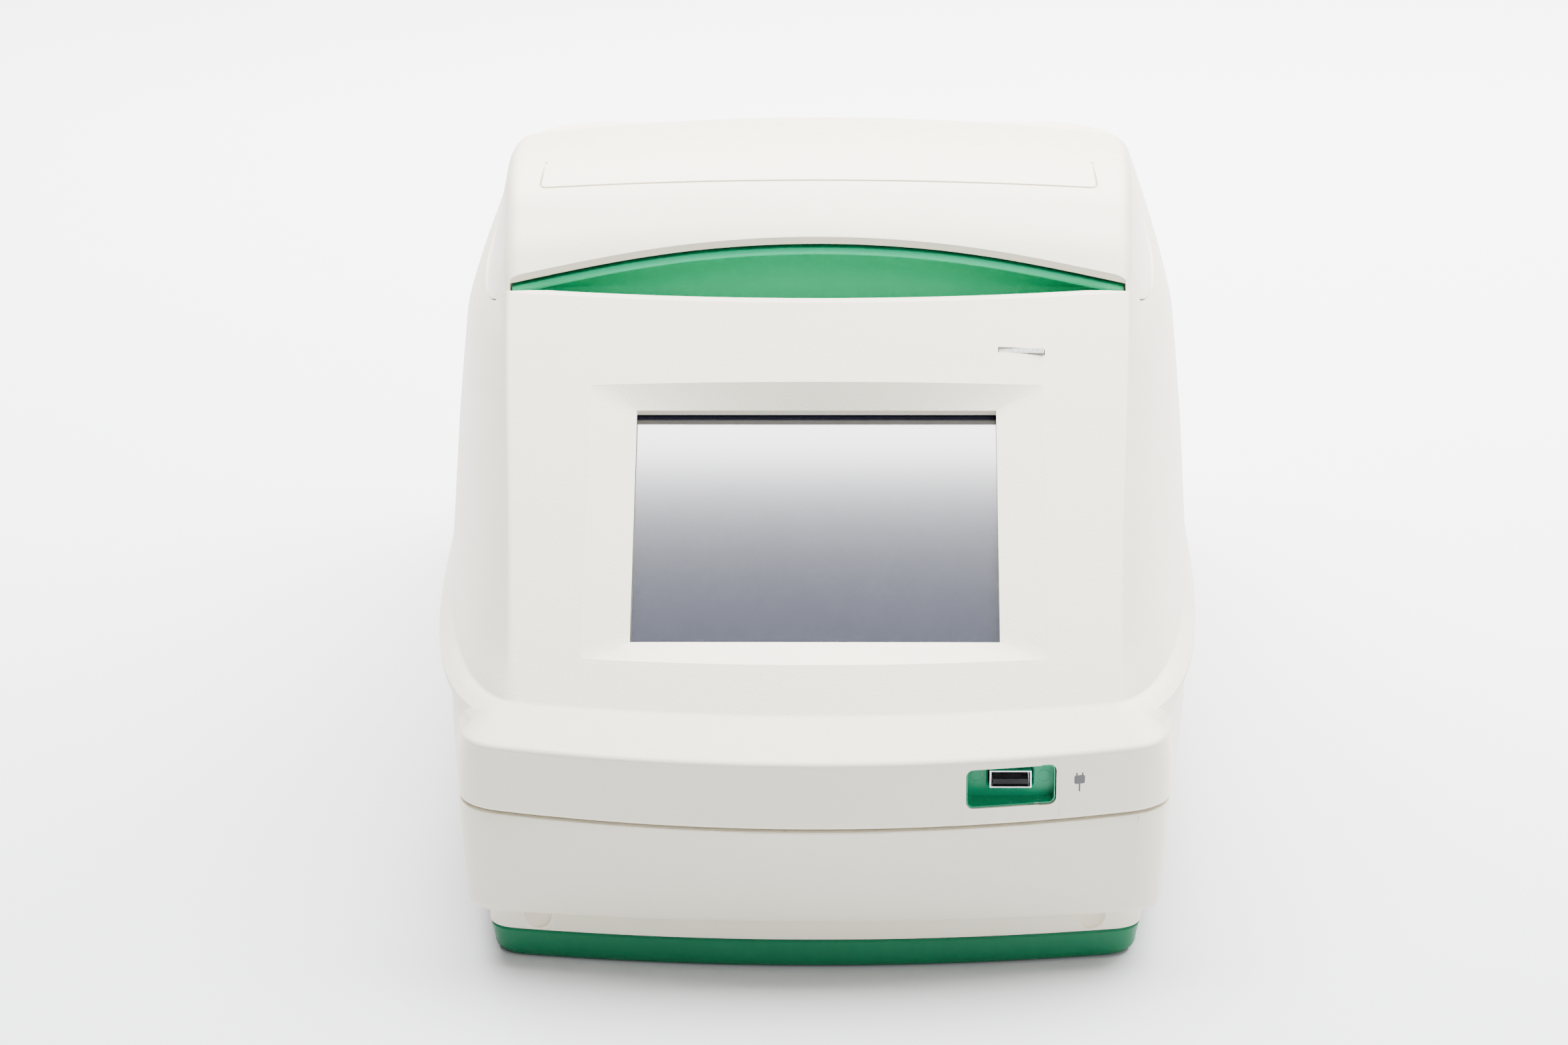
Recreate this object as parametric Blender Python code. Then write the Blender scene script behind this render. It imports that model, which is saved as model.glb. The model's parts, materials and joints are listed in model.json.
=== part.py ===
"""Bench-top thermal cycler with a hinged heated lid and a sloping touch panel.

Frame: origin at the centre of the footprint on the table, +X to the user's right, +Y to the rear, +Z up.
All sizes below are millimetres; the mesh helpers turn them into metres.
"""

import math

import bpy
from mathutils import Matrix, Vector

MM = 0.001
GAP = 0.3  # air between pieces that touch

# Driving dimensions
WALL = 3.0
CHIN_Y, CHIN_BOW = -235.0, 340.0
PANEL_BOTTOM = (-217.0, 84.7)  # y, z on the centre line
PANEL_TOP = (-89.0, 184.3)
LEDGE_Z = 172.5  # shoulder that the lid comes down on
LID_GAP = 0.6
CREASE_X = 105.0  # half width where the lid's crown and bow are stated
LIP_Y = -73.5
LIP_HEIGHT = 2.6
OPENING_FRONT_Y, OPENING_REAR_Y = -87.0, 177.0

HINGE_Y, HINGE_Z, HINGE_R = 160.0, 165.0, 2.5
LEVER_Y, LEVER_Z, LEVER_R = -52.0, 197.0, 1.8

SCREEN_X = 59.4  # half width of the display opening
SCREEN_S = (30.3, 120.3)  # its ends, measured up the panel from PANEL_BOTTOM
RECESS_X = 74.8
RECESS_S = (19.0, 128.8)
RECESS_DEPTH = 4.5

BLOCK_Y, BLOCK_TOP = 40.0, 160.0
BLOCK_SIZE = (116.0, 80.0, 18.0)
WELL_PITCH, WELL_R, WELL_COLUMNS, WELL_ROWS = 9.0, 3.4, 12, 8
DECK_Z = (158.0, 161.0)
PLATE_Z = (167.0, 171.0)
LINER_Z = (176.5, 179.0)
POST_X, POST_Y = 48.0, (10.0, 70.0)

FAN_X, FAN_Z, FAN_Y = 34.0, 100.0, (205.0, 220.0)
INLET_Y = (204.0, 228.3)
USB_X, USB_Z, USB_SOCKET_Z = 62.1, 65.6, 66.4

# Each row: height, front y, bow radius, crease x, corner rounding, angle the side leaves at,
# reach of that direction, widest half width, rear y, rear corner radius.
HOUSING = [
    (53.3, -235.0, 335, 113.0, 12.0, 6, 70, 129.5, 235.0, 35),
    (67.0, -235.0, 340, 112.7, 12.0, 6, 70, 130.0, 235.0, 35),
    (75.1, -235.0, 346, 112.0, 12.0, 7, 65, 129.8, 234.8, 35),
    (84.7, -217.0, 383, 97.0, 3.0, 52, 26, 129.3, 234.5, 35),
    (95.0, -203.8, 388, 98.0, 1.5, 40, 28, 129.0, 234.3, 35),
    (130.0, -158.8, 410, 100.8, 1.5, 22, 40, 127.0, 233.0, 34),
    (150.0, -133.1, 420, 102.6, 1.5, 21, 34, 125.2, 229.0, 33),
    (160.0, -120.2, 425, 103.4, 1.5, 21, 30, 124.0, 223.0, 32),
    (168.0, -109.9, 428, 104.0, 1.5, 21, 22, 121.0, 212.0, 31),
    (172.5, -104.2, 430, 104.3, 1.5, 22, 14, 117.8, 200.0, 30),
    (184.3, -89.0, 435, 104.8, 1.5, 24, 12, 117.3, 195.0, 30),
]
CAVITY = [
    (50.0, -232.0, 332, 110.0, 10.0, 6, 70, 126.5, 232.0, 32),
    (73.3, -232.0, 343, 109.0, 10.0, 7, 65, 126.8, 231.8, 32),
    (82.2, -215.3, 380, 94.0, 4.0, 50, 26, 126.3, 231.5, 32),
    (95.0, -198.9, 385, 95.2, 3.0, 40, 28, 126.0, 231.2, 32),
    (130.0, -153.9, 407, 98.0, 3.0, 22, 40, 124.0, 230.0, 31),
    (158.0, -117.9, 422, 100.5, 3.0, 21, 30, 120.8, 220.0, 29),
    (169.3, -103.4, 428, 101.0, 3.0, 21, 20, 114.0, 203.0, 27),
]
BASE = [
    (10.2, -222.5, 520, 104.0, 8.0, 5, 60, 119.0, 226.0, 30),
    (18.2, -222.5, 520, 104.5, 8.0, 5, 60, 119.5, 226.0, 30),
    (18.5, -228.5, 600, 110.5, 9.0, 5, 65, 125.5, 232.0, 33),
    (30.0, -231.0, 500, 111.5, 10.0, 5, 68, 127.3, 233.2, 34),
    (52.4, -235.0, 335, 113.0, 12.0, 6, 70, 129.5, 235.0, 35),
]
BASE_CAVITY = [
    (9.0, -219.5, 517, 101.0, 6.0, 5, 60, 116.0, 223.0, 27),
    (21.3, -219.5, 517, 101.5, 6.0, 5, 60, 116.5, 223.0, 27),
    (21.6, -226.0, 590, 107.5, 7.0, 5, 65, 122.9, 229.2, 30),
    (54.0, -232.0, 332, 110.0, 10.0, 6, 70, 126.5, 232.0, 32),
]
TRAY = [
    (1.0, -221.8, 505, 101.5, 8.0, 5, 60, 116.5, 224.5, 28),
    (3.0, -222.7, 505, 103.0, 8.0, 5, 60, 118.0, 225.6, 29),
    (9.9, -223.0, 505, 104.2, 8.0, 5, 60, 119.2, 226.2, 30),
]

# The lid's outside at stations from the front edge to the rear: y and z on the centre line,
# how far the crease lies behind the centre, how far below it, the crease's x and the skirt's x.
LID = [
    (-90.0, 184.3, 12.6, 0.0, 105.0, 105.4),
    (-82.0, 193.2, 11.5, 3.0, 105.3, 108.7),
    (-73.5, 201.9, 10.5, 6.0, 105.6, 111.4),
    (-62.0, 209.5, 9.0, 8.0, 106.0, 113.1),
    (-50.0, 215.3, 7.0, 8.5, 106.4, 114.2),
    (-35.0, 219.0, 5.0, 8.0, 107.0, 115.2),
    (-15.0, 220.5, 2.5, 7.5, 107.6, 116.0),
    (5.0, 219.7, 0.0, 7.0, 108.0, 116.6),
    (30.0, 216.3, 0.0, 6.5, 107.8, 117.0),
    (80.0, 204.2, 0.0, 6.0, 107.0, 117.4),
    (130.0, 190.0, 0.0, 5.0, 107.5, 117.0),
    (160.0, 180.5, 0.0, 3.5, 105.0, 110.2),
    (171.5, 175.2, 0.0, 1.5, 101.5, 105.5),
]

# Side view of the edge where lid and housing meet, from the panel's top edge to the rear.
SEAM_PATH = [
    (-79.5, 190.0), (-77.5, 184.3), (-72.0, 180.4), (-66.0, 177.2), (-58.0, 175.2),
    (-46.0, 173.4), (-32.0, 172.5), (250.0, 172.5),
]


# ---------------------------------------------------------------- mesh helpers

def material(name, colour, roughness, metallic=0.0, alpha=1.0):
    mat = bpy.data.materials.new(name)
    mat.use_nodes = True
    shader = mat.node_tree.nodes["Principled BSDF"]
    shader.inputs["Base Color"].default_value = (*colour, 1.0)
    shader.inputs["Roughness"].default_value = roughness
    shader.inputs["Metallic"].default_value = metallic
    shader.inputs["Alpha"].default_value = alpha
    return mat


def make(name, points, faces, mat=None, smooth=None):
    """One object from points in millimetres."""
    mesh = bpy.data.meshes.new(name)
    mesh.from_pydata([tuple(c * MM for c in p) for p in points], [], faces)
    mesh.update()
    obj = bpy.data.objects.new(name, mesh)
    bpy.context.scene.collection.objects.link(obj)
    if mat:
        mesh.materials.append(mat)
    if smooth:
        mesh.shade_smooth()
        mesh.set_sharp_from_angle(angle=math.radians(smooth))
    return obj


def boolean(target, tool, operation="DIFFERENCE"):
    """Changes target by tool at once and removes tool."""
    modifier = target.modifiers.new(operation.title(), "BOOLEAN")
    modifier.operation = operation
    modifier.object = tool
    modifier.solver = "EXACT"
    graph = bpy.context.evaluated_depsgraph_get()
    made = bpy.data.meshes.new_from_object(target.evaluated_get(graph))
    target.modifiers.clear()
    target.data = made
    bpy.data.objects.remove(tool)
    return target


def carry(name, centre, *pieces):
    """An empty on a joint's axis, and the pieces that move with it."""
    place = Vector(centre) * MM
    empty = bpy.data.objects.new(name, None)
    empty.location = place
    bpy.context.scene.collection.objects.link(empty)
    for piece in pieces:
        piece.data.transform(Matrix.Translation(-place))
        piece.parent = empty


def cut(target, *tools):
    for tool in tools:
        boolean(target, tool, "DIFFERENCE")
    return target


def join(target, *tools):
    for tool in tools:
        boolean(target, tool, "UNION")
    return target


def box(name, low, high, mat=None):
    (x0, y0, z0), (x1, y1, z1) = low, high
    points = [(x, y, z) for z in (z0, z1) for x, y in ((x0, y0), (x1, y0), (x1, y1), (x0, y1))]
    faces = [(3, 2, 1, 0), (4, 5, 6, 7), (0, 1, 5, 4), (1, 2, 6, 5), (2, 3, 7, 6), (3, 0, 4, 7)]
    return make(name, points, faces, mat)


def strips(ring):
    """Faces that close a ring whose two halves mirror each other, for an end that isn't flat."""
    faces = []
    last = len(ring) - 1
    for k in range(last // 2):
        quad = [ring[k], ring[k + 1], ring[last - 1 - k], ring[last - k]]
        faces.append(tuple(dict.fromkeys(quad)))
    return faces


def loft(name, rings, mat=None, smooth=None, flat_ends=True):
    """Closed solid through rings of equal count, anticlockwise seen from the last ring."""
    count = len(rings[0])
    points = [p for ring in rings for p in ring]
    start = (len(rings) - 1) * count
    first = tuple(reversed(range(count)))
    last = tuple(range(start, start + count))
    faces = [first, last] if flat_ends else strips(first) + strips(last)
    for j in range(len(rings) - 1):
        for i in range(count):
            a, b = j * count + i, j * count + (i + 1) % count
            faces.append((a, b, b + count, a + count))
    return make(name, points, faces, mat, smooth)


def prism(name, outline, axis, start, end, mat=None, smooth=None):
    """A flat outline drawn out along an axis. On x the outline is (y, z), on y (z, x), on z (x, y)."""
    place = {
        "x": lambda p, d: (d, p[0], p[1]),
        "y": lambda p, d: (p[1], d, p[0]),
        "z": lambda p, d: (p[0], p[1], d),
    }[axis]
    area = sum(a[0] * b[1] - b[0] * a[1] for a, b in zip(outline, outline[1:] + outline[:1]))
    ordered = outline if area > 0 else outline[::-1]
    return loft(name, [[place(p, d) for p in ordered] for d in (start, end)], mat, smooth)


def circle(centre, radius, sides, turn=0.0):
    return [
        (centre[0] + radius * math.cos(turn + 2 * math.pi * i / sides),
         centre[1] + radius * math.sin(turn + 2 * math.pi * i / sides))
        for i in range(sides)
    ]


def rounded(x0, y0, x1, y1, radius, steps=3):
    """Rectangle with round corners, as points."""
    points = []
    for cx, cy, first in ((x1, y1, 0), (x0, y1, 1), (x0, y0, 2), (x1, y0, 3)):
        mx = cx - math.copysign(radius, cx - (x0 + x1) / 2)
        my = cy - math.copysign(radius, cy - (y0 + y1) / 2)
        for i in range(steps + 1):
            a = (first + i / steps) * math.pi / 2
            points.append((mx + radius * math.cos(a), my + radius * math.sin(a)))
    return points


def bezier(p0, p1, p2, p3, t):
    return tuple(
        a * (1 - t) ** 3 + 3 * b * t * (1 - t) ** 2 + 3 * c * t * t * (1 - t) + d * t**3
        for a, b, c, d in zip(p0, p1, p2, p3)
    )


# ---------------------------------------------------------------- outer shapes

def bowed(front_y, bow, x):
    """A front edge that curves away towards the sides."""
    return front_y + x * x / (2 * bow)


def plan_ring(row, front=8, corner=3, side=7, rear_side=3, rear_corner=4):
    """The housing's horizontal section at one height, anticlockwise seen from above."""
    z, front_y, bow, crease_x, k, lead, reach, width, rear_y, rear_r = row
    start_x = crease_x - k
    half = [(start_x * i / front, bowed(front_y, bow, start_x * i / front)) for i in range(front)]
    tip = (crease_x, bowed(front_y, bow, crease_x))
    heading = (math.sin(math.radians(lead)), math.cos(math.radians(lead)))
    end = (tip[0] + k * heading[0], tip[1] + k * heading[1])
    begin = (start_x, bowed(front_y, bow, start_x))
    for i in range(corner):
        t = i / corner
        weights = ((1 - t) ** 2, 2 * t * (1 - t), t * t)
        corner_points = zip(begin, tip, end)
        half.append(tuple(sum(w * c for w, c in zip(weights, row)) for row in corner_points))
    widest = (width, 10.0)
    pull = 0.42 * (widest[1] - end[1])
    for i in range(side):
        half.append(bezier(end, (end[0] + reach * heading[0], end[1] + reach * heading[1]),
                           (width, widest[1] - pull), widest, i / side))
    rear_x = width - 4.0
    turn_y = rear_y - rear_r
    for i in range(rear_side):
        t = i / rear_side
        half.append(bezier(widest, (width, 70.0), (rear_x + 2.0, turn_y - 60.0), (rear_x, turn_y), t))
    for i in range(rear_corner + 1):
        a = math.pi / 2 * i / rear_corner
        half.append((rear_x - rear_r + rear_r * math.cos(a), turn_y + rear_r * math.sin(a)))
    full = half + [(-x, y) for x, y in reversed(half[1:])]
    return [(x, y, z) for x, y in full]


def shell_loft(name, table, mat=None, smooth=None):
    return loft(name, [plan_ring(row) for row in table], mat, smooth)


def lid_ring(station, inset=0.0, floor=165.0, across=8):
    """The lid's cross-section at one station, from the left skirt over the top to the right skirt."""
    y, z, back, drop, crease_x, skirt_x = station
    crease_x, skirt_x = crease_x - inset, skirt_x - inset
    z_crease = z - drop
    depth = max(z_crease - LEDGE_Z, 0.8)
    lean = (skirt_x - crease_x) / depth
    soft = min(2.5, 0.6 * depth)
    half = []
    for i in range(across + 1):
        x = (crease_x - soft) * i / across
        share = (x / CREASE_X) ** 2
        half.append((x, y + back * share, z - drop * share))
    y_edge = y + back
    half.append((crease_x + soft * (0.36 * lean - 0.24), y_edge, z_crease - 0.36 * soft))
    half.append((crease_x + soft * lean, y_edge, z_crease - soft))
    half.append((skirt_x, y_edge, z_crease - depth))
    half.append((skirt_x, y_edge, floor))
    left = [(-x, py, pz) for x, py, pz in half[:0:-1]]
    return left + half


def lid_surface_z(x, y):
    """Height of the lid's outside over a point, by walking the stations."""
    share = (x / CREASE_X) ** 2
    line = [(s[0] + s[2] * share, s[1] - s[3] * share) for s in LID]
    for (y0, z0), (y1, z1) in zip(line, line[1:]):
        if y0 <= y <= y1:
            return z0 + (z1 - z0) * (y - y0) / (y1 - y0)
    return line[0][1]


def panel_point(x, s, n):
    """A point on the panel's own axes: across, up the slope, and out from its centre line."""
    run, rise = PANEL_TOP[0] - PANEL_BOTTOM[0], PANEL_TOP[1] - PANEL_BOTTOM[1]
    length = math.hypot(run, rise)
    cos, sin = run / length, rise / length
    return (x, PANEL_BOTTOM[0] + s * cos - n * sin, PANEL_BOTTOM[1] + s * sin + n * cos)


def panel_surface_n(x, s):
    """How far the bowed panel lies behind its centre line."""
    bow = 383 + (435 - 383) * s / 162.2
    return -0.6157 * x * x / (2 * bow)


def panel_box(name, x_range, s_range, n_range, mat=None):
    x0, x1 = x_range
    rings = []
    for x in (x0, x1):
        corners = ((0, 0), (1, 0), (1, 1), (0, 1))
        rings.append([panel_point(x, s_range[i], n_range[j]) for i, j in corners])
    return loft(name, rings, mat)


def panel_frame(name, outer, inner, n_range, mat):
    """A flat rectangular frame on the panel's axes."""
    frame = panel_box(name, (-outer[0], outer[0]), outer[1], n_range, mat)
    return cut(frame, panel_box("hole", (-inner[0], inner[0]), inner[1], (n_range[0] - 2, n_range[1] + 2)))


# ---------------------------------------------------------------- housings

def bottom_tray(mat):
    """Green tray whose rim is the band seen round the foot of the machine."""
    tray = shell_loft("bottom_tray", TRAY, mat, 30)
    inner = [(z, f + 3, b, c - 3, k, l, r, w - 3, y - 3, q) for z, f, b, c, k, l, r, w, y, q in TRAY]
    below = [(z,) + row[1:] for z, row in zip((0.0, 5.3), inner[::2])]
    above = [(z,) + row[1:] for z, row in zip((7.8, 11.0), inner[1:])]
    cut(tray, shell_loft("below", below), shell_loft("above", above))
    for side in (-1, 1):
        for i in range(7):
            y = -40.0 + 14.0 * i
            x0, x1 = sorted((side * 30.0, side * 84.0))
            cut(tray, prism("slot", rounded(x0, y, x1, y + 5.0, 2.4, 2), "z", 4.0, 9.0))
    return tray


def feet(mat):
    for end, x, y in (("front", 84.0, -178.0), ("rear", 88.0, 180.0)):
        for side, name in ((-1, "left"), (1, "right")):
            rings = []
            for z, r in ((0.0, 8.4), (0.8, 9.2), (5.0, 9.8)):
                rings.append([(px, py, z) for px, py in circle((side * x, y), r, 16)])
            loft("foot_" + end + "_" + name, rings, mat, 40)


def base_housing(mat):
    base = shell_loft("base_housing", BASE, mat, 30)
    cut(base, shell_loft("cavity", BASE_CAVITY))
    for x in (-89.0, 89.0):
        cut(base, prism("notch", circle((x, -217.6 - 1.5), 5.0, 12), "z", 5.0, 17.0))
    cut(base, box("inlet_pocket", (27.0, 231.3, 16.5), (93.0, 240.0, 51.0)))
    cut(base, box("inlet_hole", (29.6, 215.0, 19.5), (90.4, 240.0, 49.0)))
    return base


def recess_cutter():
    """The shallow frame round the display: bevels from the bowed panel down to one flat rim."""
    steps = 8
    loops = []
    for k in range(4):
        for i in range(steps):
            t = i / steps
            u, v = ((t, 0), (1, t), (1 - t, 1), (0, 1 - t))[k]
            loops.append((u, v))
    inner, outer, above = [], [], []
    rim_x, rim_s = SCREEN_X - 0.15, (SCREEN_S[0] + 0.15, SCREEN_S[1] - 0.15)
    for u, v in loops:
        inner.append(panel_point(rim_x * (2 * u - 1), rim_s[0] + (rim_s[1] - rim_s[0]) * v, -RECESS_DEPTH))
        x = RECESS_X * (2 * u - 1)
        lift = (5.0 * (1 - v) + 1.4 * v) * (x / RECESS_X) ** 2
        s = RECESS_S[0] + (RECESS_S[1] - RECESS_S[0]) * v + lift
        outer.append(panel_point(x, s, panel_surface_n(x, s) - 0.03))
        above.append(panel_point(x, s, 8.0))
    return loft("recess", [inner, outer, above])


def display_pad():
    """Thicker wall behind the panel that the recess is sunk into."""
    rings = []
    for i in range(13):
        x = -80.0 + 160.0 * i / 12
        front = panel_surface_n(x, 75.0) - 1.5
        corners = ((13.0, -8.6), (135.0, -8.6), (135.0, front), (13.0, front))
        rings.append([panel_point(x, s, n) for s, n in corners])
    return loft("pad", rings)


def opening_cutter():
    """The well under the lid, through the housing's top."""
    outline = [(x, OPENING_FRONT_Y + x * x / 870) for x in (-103, -77, -52, -26, 0, 26, 52, 77, 103)]
    right = [(106, -62), (110, -40), (112, -10), (112, 158), (111, 166), (109, 172), (107.5, OPENING_REAR_Y)]
    outline += right + [(-x, y) for x, y in reversed(right)]
    return prism("opening", outline, "z", 150.0, 200.0)


def bezel_cavity():
    """Hollow behind the top strip of the panel."""
    rings = []
    for z in (160.0, 180.6):
        front = -215.15 + (z - 82.34) * 1.2851
        points = [(x, front + x * x / 860, z) for x in (-98, -66, -33, 0, 33, 66, 98)]
        points += [(98.0, -72.0, z), (-98.0, -72.0, z)]
        rings.append(points)
    return loft("bezel_cavity", rings)


def upper_housing(mat):
    housing = shell_loft("upper_housing", HOUSING, mat, 30)
    cut(housing, shell_loft("cavity", CAVITY))
    join(housing, display_pad())
    cut(housing, bezel_cavity(), opening_cutter())
    cut(housing, prism("lid_space", SEAM_PATH + [(250.0, 230.0), (-79.5, 230.0)], "x", -140.0, 140.0))
    cut(housing, recess_cutter())
    cut(housing, panel_box("display_hole", (-SCREEN_X, SCREEN_X), SCREEN_S, (-15.0, 2.0)))
    cut(housing, panel_box("display_rebate", (-65.5, 65.5), (24.5, 126.5), (-15.0, -7.0)))
    cut(housing, panel_box("status_hole", (60.3, 75.9), (142.6, 144.9), (-12.0, 4.0)))
    pocket = rounded(USB_Z - 6.85, USB_X - 14.45, USB_Z + 6.85, USB_X + 14.45, 2.4)
    cut(housing, prism("usb_hole", pocket, "y", -245.0, -215.0))
    cut(housing, box("rear_hole", (-102.0, 215.0, 60.0), (102.0, 245.0, 136.0)))
    return housing


def rear_panel(mat):
    panel = box("rear_panel", (-101.6, 229.5, 60.4), (101.6, 231.0, 135.6), mat)
    for side in (-1, 1):
        for i in range(9):
            dz = -22.0 + 5.5 * i
            reach = math.sqrt(27.0**2 - dz * dz) - 1.0
            x0, x1 = side * FAN_X - reach, side * FAN_X + reach
            z = FAN_Z + dz
            cut(panel, box("slot", (x0, 225.0, z - 1.4), (x1, 235.0, z + 1.4)))
    return panel


# ---------------------------------------------------------------- display and front electronics

def display(mats):
    panel_frame("display_gasket", (64.5, (25.5, 125.5)), (60.0, (29.8, 120.8)), (-8.3, -7.3), mats["black"])
    panel_box("touch_glass", (-64.5, 64.5), (25.5, 125.5), (-10.4, -8.6), mats["screen"])
    panel_box("lcd_module", (-62.0, 62.0), (27.5, 123.5), (-17.0, -10.7), mats["steel"])
    board = panel_box("display_board", (-60.0, 60.0), (30.0, 120.0), (-22.0, -20.4), mats["board"])
    join(board, panel_box("connector", (-20.0, 20.0), (70.0, 78.0), (-21.0, -17.3), mats["board"]))
    y = panel_surface_n(68.1, 141.0)
    panel_box("status_window", (60.6, 75.6), (142.8, 144.7), (y - 6.0, y + 0.1), mats["window"])


def usb_port(mats):
    """Pocket insert whose front follows the chin, with the socket on its floor."""
    outer = rounded(USB_Z - 6.5, USB_X - 14.1, USB_Z + 6.5, USB_X + 14.1, 2.1)
    front = [(x, bowed(CHIN_Y, CHIN_BOW, x) + 0.1, z) for z, x in outer]
    back = [(x, -218.0, z) for z, x in outer]
    pocket = loft("usb_pocket", [front, back], mats["green"], 30)
    inner = rounded(USB_Z - 5.4, USB_X - 13.0, USB_Z + 5.4, USB_X + 13.0, 1.4)
    cut(pocket, prism("hollow", inner, "y", -240.0, -221.0))
    z = USB_SOCKET_Z
    cut(pocket, box("slot", (USB_X - 7.1, -240.0, z - 3.2), (USB_X + 7.1, -210.0, z + 3.2)))
    shell = box("usb_shell", (USB_X - 6.6, -224.5, z - 2.85), (USB_X + 6.6, -208.5, z + 2.85), mats["chrome"])
    cut(shell, box("hollow", (USB_X - 6.25, -230.0, z - 2.5), (USB_X + 6.25, -209.2, z + 2.5)))
    box("usb_tongue", (USB_X - 5.6, -223.5, z - 2.1), (USB_X + 5.6, -209.5, z - 0.3), mats["black"])
    board = box("main_board", (-92.0, -203.0, 57.0), (92.0, -40.0, 58.6), mats["board"])
    chips = ((-60, -150, -30, -120, 3), (10, -170, 34, -146, 4))
    chips += ((-20, -80, 40, -66, 9), (54, -203, 68, -186, 9))
    for x0, y0, x1, y1, height in chips:
        join(board, box("chip", (x0, y0, 58.0), (x1, y1, 58.0 + height)))


# ---------------------------------------------------------------- thermal core

def sample_block(mat):
    w, d, h = BLOCK_SIZE
    low, high = (-w / 2, BLOCK_Y - d / 2, BLOCK_TOP - h), (w / 2, BLOCK_Y + d / 2, BLOCK_TOP)
    block = box("sample_block", low, high, mat)
    points, faces = [], []
    for column in range(WELL_COLUMNS):
        for row in range(WELL_ROWS):
            cx = (column - (WELL_COLUMNS - 1) / 2) * WELL_PITCH
            cy = BLOCK_Y + (row - (WELL_ROWS - 1) / 2) * WELL_PITCH
            base = len(points)
            for z, r in ((BLOCK_TOP - 14.5, 1.5), (BLOCK_TOP - 5.2, WELL_R), (BLOCK_TOP + 1.0, WELL_R)):
                points += [(x, y, z) for x, y in circle((cx, cy), r, 6)]
            faces.append(tuple(base + i for i in reversed(range(6))))
            faces.append(tuple(base + 12 + i for i in range(6)))
            for j in (0, 6):
                for i in range(6):
                    a, b = base + j + i, base + j + (i + 1) % 6
                    faces.append((a, b, b + 6, a + 6))
    return cut(block, make("wells", points, faces))


def thermal_core(mats):
    sample_block(mats["aluminium"])
    w, d, h = BLOCK_SIZE
    y0, y1 = BLOCK_Y - d / 2, BLOCK_Y + d / 2
    bottom = BLOCK_TOP - h
    for side, name in ((-1, "left"), (1, "right")):
        x0, x1 = sorted((side * 3.0, side * 55.0))
        box("peltier_" + name, (x0, y0 + 4, bottom - 4.3), (x1, y1 - 4, bottom - GAP), mats["ceramic"])
    low, high = (-w / 2 - 3.4, y0 - 3.4, 152.0), (w / 2 + 3.4, y1 + 3.4, 157.6)
    gasket = box("block_gasket", low, high, mats["rubber"])
    cut(gasket, box("hole", (-w / 2 - 0.4, y0 - 0.4, 150.0), (w / 2 + 0.4, y1 + 0.4, 160.0)))
    deck = prism("block_deck", rounded(-108.0, -66.0, 108.0, 146.0, 8.0), "z", *DECK_Z, mats["white"])
    cut(deck, box("hole", (-w / 2 - 1.0, y0 - 1.0, 150.0), (w / 2 + 1.0, y1 + 1.0, 165.0)))
    fins = 15
    pitch, thick = 8.0, 2.2
    base_z, fin_z, top_z = 120.0, 72.0, bottom - 4.6
    outline = [(top_z, -58.0), (top_z, 58.0)]
    for i in range(fins):
        x = 56.0 - pitch * i
        near, far = x + thick / 2, x - thick / 2
        outline += [(base_z, near), (fin_z, near), (fin_z, far), (base_z, far)]
    outline[2] = (outline[2][0], 58.0)
    outline[3] = (outline[3][0], 58.0)
    outline[-1] = (outline[-1][0], -58.0)
    outline[-2] = (outline[-2][0], -58.0)
    prism("heatsink", outline, "y", y0 - 4, y1 + 4, mats["aluminium"])
    duct = box("air_duct", (-66.0, y1 + 6, 66.0), (66.0, 203.5, 134.0), mats["black"])
    cut(duct, box("bore", (-64.4, y1, 67.6), (64.4, 210.0, 132.4)))
    supply = box("power_supply", (-104.0, 70.0, 14.0), (20.0, 196.0, 50.0), mats["steel"])
    for i in range(8):
        y = 84.0 + 13.0 * i
        cut(supply, box("vent", (-90.0, y, 48.0), (6.0, y + 6.0, 52.0)))


def fan_strut(centre_x, turn, y1):
    """One arm that holds the motor mount in the frame."""
    a = math.radians(turn)
    outline = []
    for r, side in ((10.0, -1.5), (29.0, -1.5), (29.0, 1.5), (10.0, 1.5)):
        x = centre_x + math.cos(a) * r - math.sin(a) * side
        z = FAN_Z + math.sin(a) * r + math.cos(a) * side
        outline.append((z, x))
    return prism("strut", outline, "y", y1 - 2.6, y1 - 0.6)


def fan_blade(centre_x, turn, centre_y):
    rings = []
    for r in (26.8, 10.0):
        ring = []
        for along, lift in ((-6.0, -3.6), (6.0, 3.0), (6.0, 4.4), (-6.0, -2.2)):
            spread = along * r / 22.0
            x = centre_x + r * math.cos(turn) - spread * math.sin(turn)
            z = FAN_Z + r * math.sin(turn) + spread * math.cos(turn)
            ring.append((x, centre_y + lift, z))
        rings.append(ring)
    return loft("blade", rings)


def fans(mats):
    """Two 60 mm fans; each rotor turns about an axis along Y."""
    y0, y1 = FAN_Y
    for side, name in ((-1, "left"), (1, "right")):
        cx = side * FAN_X
        square = rounded(FAN_Z - 30, cx - 30, FAN_Z + 30, cx + 30, 3.0)
        frame = prism("fan_frame_" + name, square, "y", y0, y1, mats["black"])
        cut(frame, prism("bore", circle((FAN_Z, cx), 28.0, 24), "y", y0 - 1, y1 + 1))
        join(frame, prism("motor_mount", circle((FAN_Z, cx), 12.0, 16), "y", y1 - 3.0, y1 - 0.2))
        join(frame, *[fan_strut(cx, turn, y1) for turn in (30, 150, 270)])
        hub = circle((FAN_Z, cx), 11.5, 16)
        rotor = prism("fan_rotor_" + name, hub, "y", y0 + 1.0, y1 - 3.6, mats["dark"], 40)
        for i in range(7):
            join(rotor, fan_blade(cx, 2 * math.pi * i / 7 + 0.1, y0 + 6.0))
        carry("fan_axis_" + name, (cx, y0 + 6.0, FAN_Z), rotor)


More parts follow.
